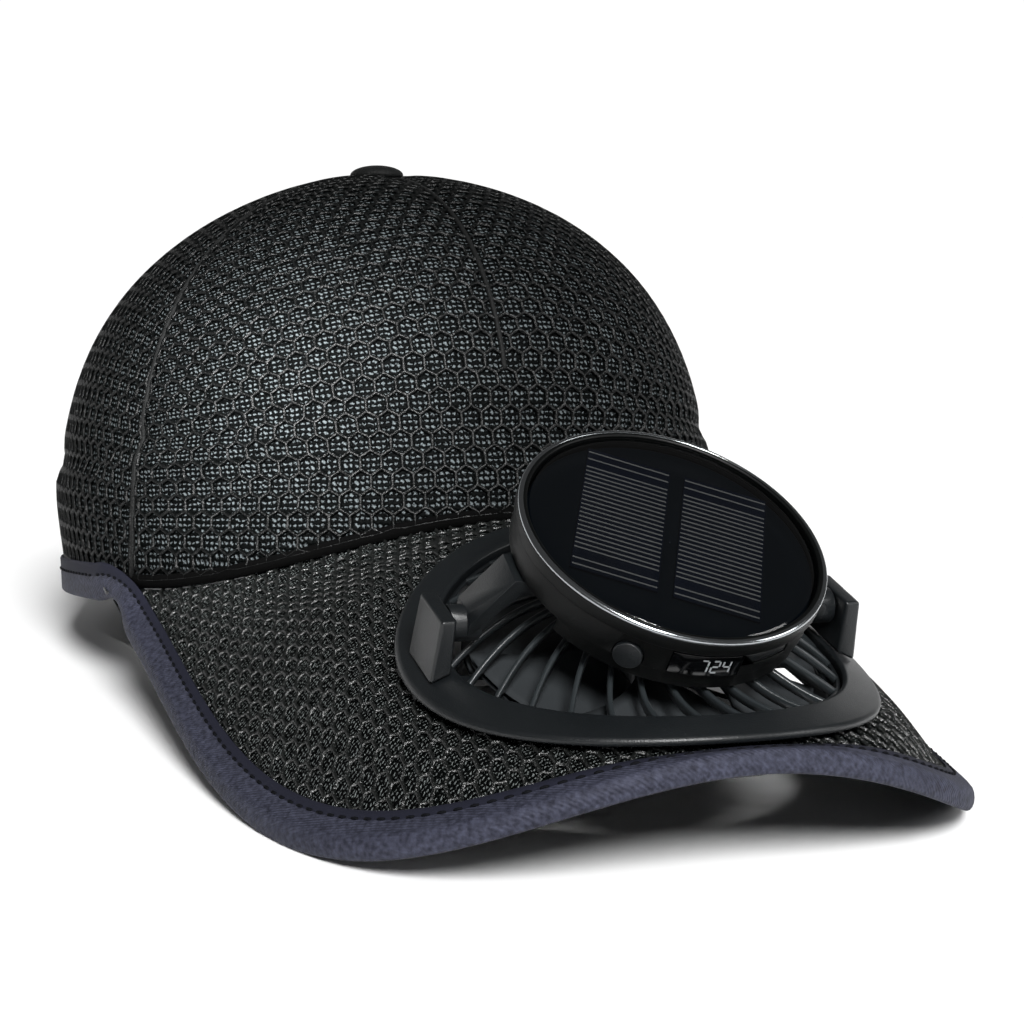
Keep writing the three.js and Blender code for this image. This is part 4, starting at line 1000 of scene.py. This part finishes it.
for side in ("right", "left"):
    softened("post_" + side, "post_smooth_" + side, "hat", black_plastic, 0.7)
    softened("pivot_arm_" + side, "arm_smooth_" + side, "head", black_plastic, 0.3)

# Solar head: a drum with a deeper front on two arms, a black trim ring with a bright lip, and
# a clear cover over two cells. HEAD puts it on its pivots and DRUM on its arms.

HEAD = FAN @ move(0, 0.8, 0.3) @ turn("X", 17.2)
DRUM = HEAD @ move(0, 0, 9.1) @ turn("Y", 3.6)

# The same ABS with a duller surface: nearly matt black.
matte_black = plastic("plastic_matte_black", "#020303", 0.42, 0.00004, gloss=0.18)
softened("housing", "housing_smooth", "head", matte_black, 0.35)

# Bright-plated metal, nearly a mirror.
trim_metal, _, _ = material("trim_bright_metal", "#a9adb0", 0.16, Metallic=1.0)
turned(
    "trim_skirt_black",
    [(29.1, 10.7), (30.5, 10.7), (30.5, 9.1), (30.9, 9.1), (30.9, 11.7), (29.1, 11.7)],
    matte_black, "head", "trim", DRUM, nodes=["trim_ring"], segments=192, radius=0.15,
)
turned(
    "trim_lip_bright",
    [(29.9, 11.6), (30.9, 11.6), (30.9, 12.1), (30.5, 12.5), (29.9, 12.5)],
    trim_metal, "head", "trim", DRUM, segments=192, radius=0.2,
)
turned(
    "trim_inner_black",
    [(29.1, 11.6), (29.95, 11.6), (29.95, 12.45), (29.4, 12.45), (29.1, 12.2)],
    matte_black, "head", "trim", DRUM, segments=192, radius=0.15,
)

# Clear acrylic with a faint blue tint: it shows the cells and mirrors the light at low angles.
glass, glass_tree, _ = material("cover_glass", "#ffffff", 0.03)
glass_clear = add(glass_tree, "ShaderNodeBsdfTransparent", {"Color": linear("#c8cfd6")})
glass_gloss = add(glass_tree, "ShaderNodeBsdfGlossy", {"Roughness": 0.06})
glass_fresnel = add(glass_tree, "ShaderNodeFresnel", {"IOR": 1.45})
glass_mix = add(
    glass_tree, "ShaderNodeMixShader",
    {0: glass_fresnel, 1: glass_clear, 2: glass_gloss},
)
feed(glass_tree, glass_tree.nodes["Material Output"], {"Surface": glass_mix})
glass_outline = np.array(
    [(0.02, 12.35), (24, 12.32), (27.2, 12.2), (28.2, 12.0), (28.8, 11.5)]
)
glass_angle = np.linspace(0, 2 * np.pi, 192, endpoint=False)[:, None]
glass_points = np.stack(
    [glass_outline[:, 0] * np.sin(glass_angle), -glass_outline[:, 0] * np.cos(glass_angle),
     glass_outline[:, 1] + 0 * glass_angle], -1,
)
facing_out(
    mesh("solar_cover", glass_points, grid_faces(192, len(glass_outline), closed=True), glass,
         "head", "glass", DRUM, nodes=["solar_glass"])
)

# The plate under the cells: black, half gloss.
panel_black, _, _ = material("panel_black", "#04080c", 0.3)
turned("panel_plate", [(0.02, 8.9), (28.8, 8.9), (28.8, 9.6), (0.02, 9.6)], panel_black,
       "head", "plastic", DRUM, nodes=["panel_base"], segments=192)

# Silicon under its blue coating: dark, glossy, with wide patches about 17 mm across.
cell_blue, cell_tree, cell_shader = material("silicon_cell_blue", "#0c1322", 0.22)
cell_place = add(cell_tree, "ShaderNodeTexCoord").outputs["Object"]
cell_patches = add(
    cell_tree, "ShaderNodeTexNoise", {"Vector": cell_place, "Scale": 60.0, "Detail": 2.0}
)
cell_ramp = add(cell_tree, "ShaderNodeValToRGB", {"Fac": cell_patches})
cell_ramp.color_ramp.elements[0].color = linear("#05080e")
cell_ramp.color_ramp.elements[1].color = linear("#0a101c")
feed(cell_tree, cell_shader, {"Base Color": cell_ramp})
# Printed silver paste, dull.
finger_silver, _, _ = material("finger_lines_silver", "#6d675f", 0.5)

CELL_TURN = DRUM @ turn("Z", -24.5)
# Heights of the silver lines up a cell, as shares of its length from the top.
LINE_SHARES = [0.03, 0.09, *np.linspace(0.16, 0.84, 20), 0.925, 0.975]


def block(low, high):
    """A box between two corners, as points and faces."""
    (x0, y0, z0), (x1, y1, z1) = low, high
    lower = [(x0, y0, z0), (x1, y0, z0), (x1, y1, z0), (x0, y1, z0)]
    upper = [(x, y, z1) for x, y, _ in lower]
    return tube([lower, upper])


CELL_BACK, CELL_LENGTH, CELL_FACE = 21.6, 38.4, 10.3

for side, name in ((-1, "right"), (1, "left")):
    middle = side * 10.0
    cell = block(
        (middle - 8.5, CELL_BACK - CELL_LENGTH, 9.9), (middle + 8.5, CELL_BACK, CELL_FACE)
    )
    facing_out(
        mesh("cell_" + name, *cell, cell_blue, "head", "cell", CELL_TURN,
             nodes=["solar_cell_" + name], smooth=False)
    )
    lines = []
    for share in LINE_SHARES:
        level = CELL_BACK - CELL_LENGTH * share
        lines.append(
            block((middle - 8.3, level - 0.17, CELL_FACE), (middle + 8.3, level + 0.17, 10.36))
        )
    facing_out(mesh("cell_lines_" + name, *merged(lines), finger_silver, "head", "cell",
                    CELL_TURN, smooth=False))

# Controls on the drum's wall: a round button, a number window and a port cover, each set in a
# pocket of the wall.

# Smoked acrylic: black, with a clear gloss.
window_black, _, _ = material("window_gloss_black", "#050607", 0.12)
softened("switch_button", "button_smooth", "head", black_plastic, 0.2)
softened("display", "number_window", "head", window_black, 0.1)
softened("port_cover", "port_cover_smooth", "head", black_plastic, 0.1)

# White segments, as they show in the window.
digit_white, _, _ = material("digit_white", "#8e9295", 0.5)
SEGMENTS = {"2": "abged", "4": "fgbc", "7": "abc"}
BARS = {
    "a": ((0.15, 1), (0.85, 1)), "b": ((1, 0.55), (1, 0.95)), "c": ((1, 0.05), (1, 0.45)),
    "d": ((0.15, 0), (0.85, 0)), "e": ((0, 0.05), (0, 0.45)), "f": ((0, 0.55), (0, 0.95)),
    "g": ((0.15, 0.5), (0.85, 0.5)),
}
WINDOW_MIDDLE = np.radians(-5)


def on_wall(across, up, radius):
    """A point of the drum's wall by millimetres round it from the window's middle."""
    bearing = WINDOW_MIDDLE + across / 30.2
    return np.sin(bearing) * radius, -np.cos(bearing) * radius, 5.7 + up


DIGIT_PITCH, DIGIT_WIDTH, DIGIT_HEIGHT, BAR_HALF = 2.3, 1.5, 2.8, 0.17
DIGITS_START = -1.2
bars = []
for place, digit in enumerate("724"):
    for bar in SEGMENTS[digit]:
        (u0, v0), (u1, v1) = BARS[bar]
        grow_u, grow_v = (0, BAR_HALF) if u0 != u1 else (BAR_HALF, 0)
        start = DIGITS_START + place * DIGIT_PITCH
        left = start + u0 * DIGIT_WIDTH - grow_u
        right = start + u1 * DIGIT_WIDTH + grow_u
        low = (v0 - 0.5) * DIGIT_HEIGHT - grow_v
        high = (v1 - 0.5) * DIGIT_HEIGHT + grow_v
        corners = [(left, low), (right, low), (right, high), (left, high)]
        bars.append(tube([[on_wall(a, b, r) for a, b in corners] for r in (30.05, 30.15)]))
facing_out(
    mesh("window_digits", *merged(bars), digit_white, "head", "glass", DRUM, smooth=False)
)

# Stage: a pale floor, a broad key light from in front, a narrow one for the bright spot on the
# crown's front, and a weak one from the wearer's left.

floor_data = bpy.data.meshes.new("floor")
floor_data.from_pydata([(-6, -6, 0), (6, -6, 0), (6, 6, 0), (-6, 6, 0)], [], [(0, 1, 2, 3)])
# Matt white board.
floor_pale, _, _ = material("floor_pale", "#fbfbfb", 0.8)
floor_data.materials.append(floor_pale)
floor = bpy.data.objects.new("floor", floor_data)
bpy.context.scene.collection.objects.link(floor)


def light(name, kind, place, target, power, **settings):
    """A light of one kind, aimed at a point."""
    data = bpy.data.lights.new(name, kind)
    data.energy = power
    for key, value in settings.items():
        setattr(data, key, value)
    made = bpy.data.objects.new(name, data)
    made.location = place
    aim = Vector(target) - Vector(place)
    made.rotation_euler = aim.to_track_quat("-Z", "Y").to_euler()
    bpy.context.scene.collection.objects.link(made)


light("fill", "AREA", (0.9, -0.6, 0.4), (0, -0.08, 0.03), 3, size=0.4)
light(
    "patch", "SPOT", (-0.42, -0.72, 0.46), (-0.05, -0.012, 0.08), 230,
    spot_size=np.radians(6.2), spot_blend=1.0, shadow_soft_size=0.03,
)
light("key", "SUN", (-0.10967, -0.78034, 0.61566), (0, 0, 0), 5.2, angle=np.radians(22))

# The surround is a white backdrop behind the cap and dim elsewhere.

world = bpy.data.worlds.new("surround")
world.use_nodes = True
around = world.node_tree
looking = add(around, "ShaderNodeTexCoord")
heading = add(around, "ShaderNodeSeparateXYZ", {"Vector": looking.outputs["Generated"]})
behind = add(
    around, "ShaderNodeMapRange",
    {"Value": heading.outputs["Y"], "From Min": 0.45, "From Max": 0.8},
    interpolation_type="SMOOTHSTEP",
)
low = add(
    around, "ShaderNodeMapRange",
    {"Value": heading.outputs["Z"], "From Min": 0.25, "From Max": 0.5, "To Min": 1.0,
     "To Max": 0.0},
    interpolation_type="SMOOTHSTEP",
)
backdrop = add(around, "ShaderNodeMath", {0: behind, 1: low}, operation="MULTIPLY")
glow = add(
    around, "ShaderNodeMapRange", {"Value": backdrop, "To Min": 0.08, "To Max": 1.04}
)
feed(around, around.nodes["Background"], {"Color": (1, 1, 1, 1), "Strength": glow})
bpy.context.scene.world = world
bpy.context.scene.view_settings.view_transform = "Standard"

# Camera: its place and lens were fitted to the photograph's outline of the cap.

camera_data = bpy.data.cameras.new("camera")
camera_data.lens = 78.93
camera_data.sensor_width = 36
camera_data.shift_x = 0.0588
camera_data.shift_y = 0.0159
camera_data.clip_start = 0.01
camera = bpy.data.objects.new("camera", camera_data)
camera_place = move(-0.182316, -0.504587, 0.127194)
camera_place = camera_place @ turn("Z", -19.7992) @ turn("X", 90 - 9.1618) @ turn("Z", 1.3218)
camera.matrix_world = Matrix(camera_place.tolist())
bpy.context.scene.collection.objects.link(camera)
bpy.context.scene.camera = camera
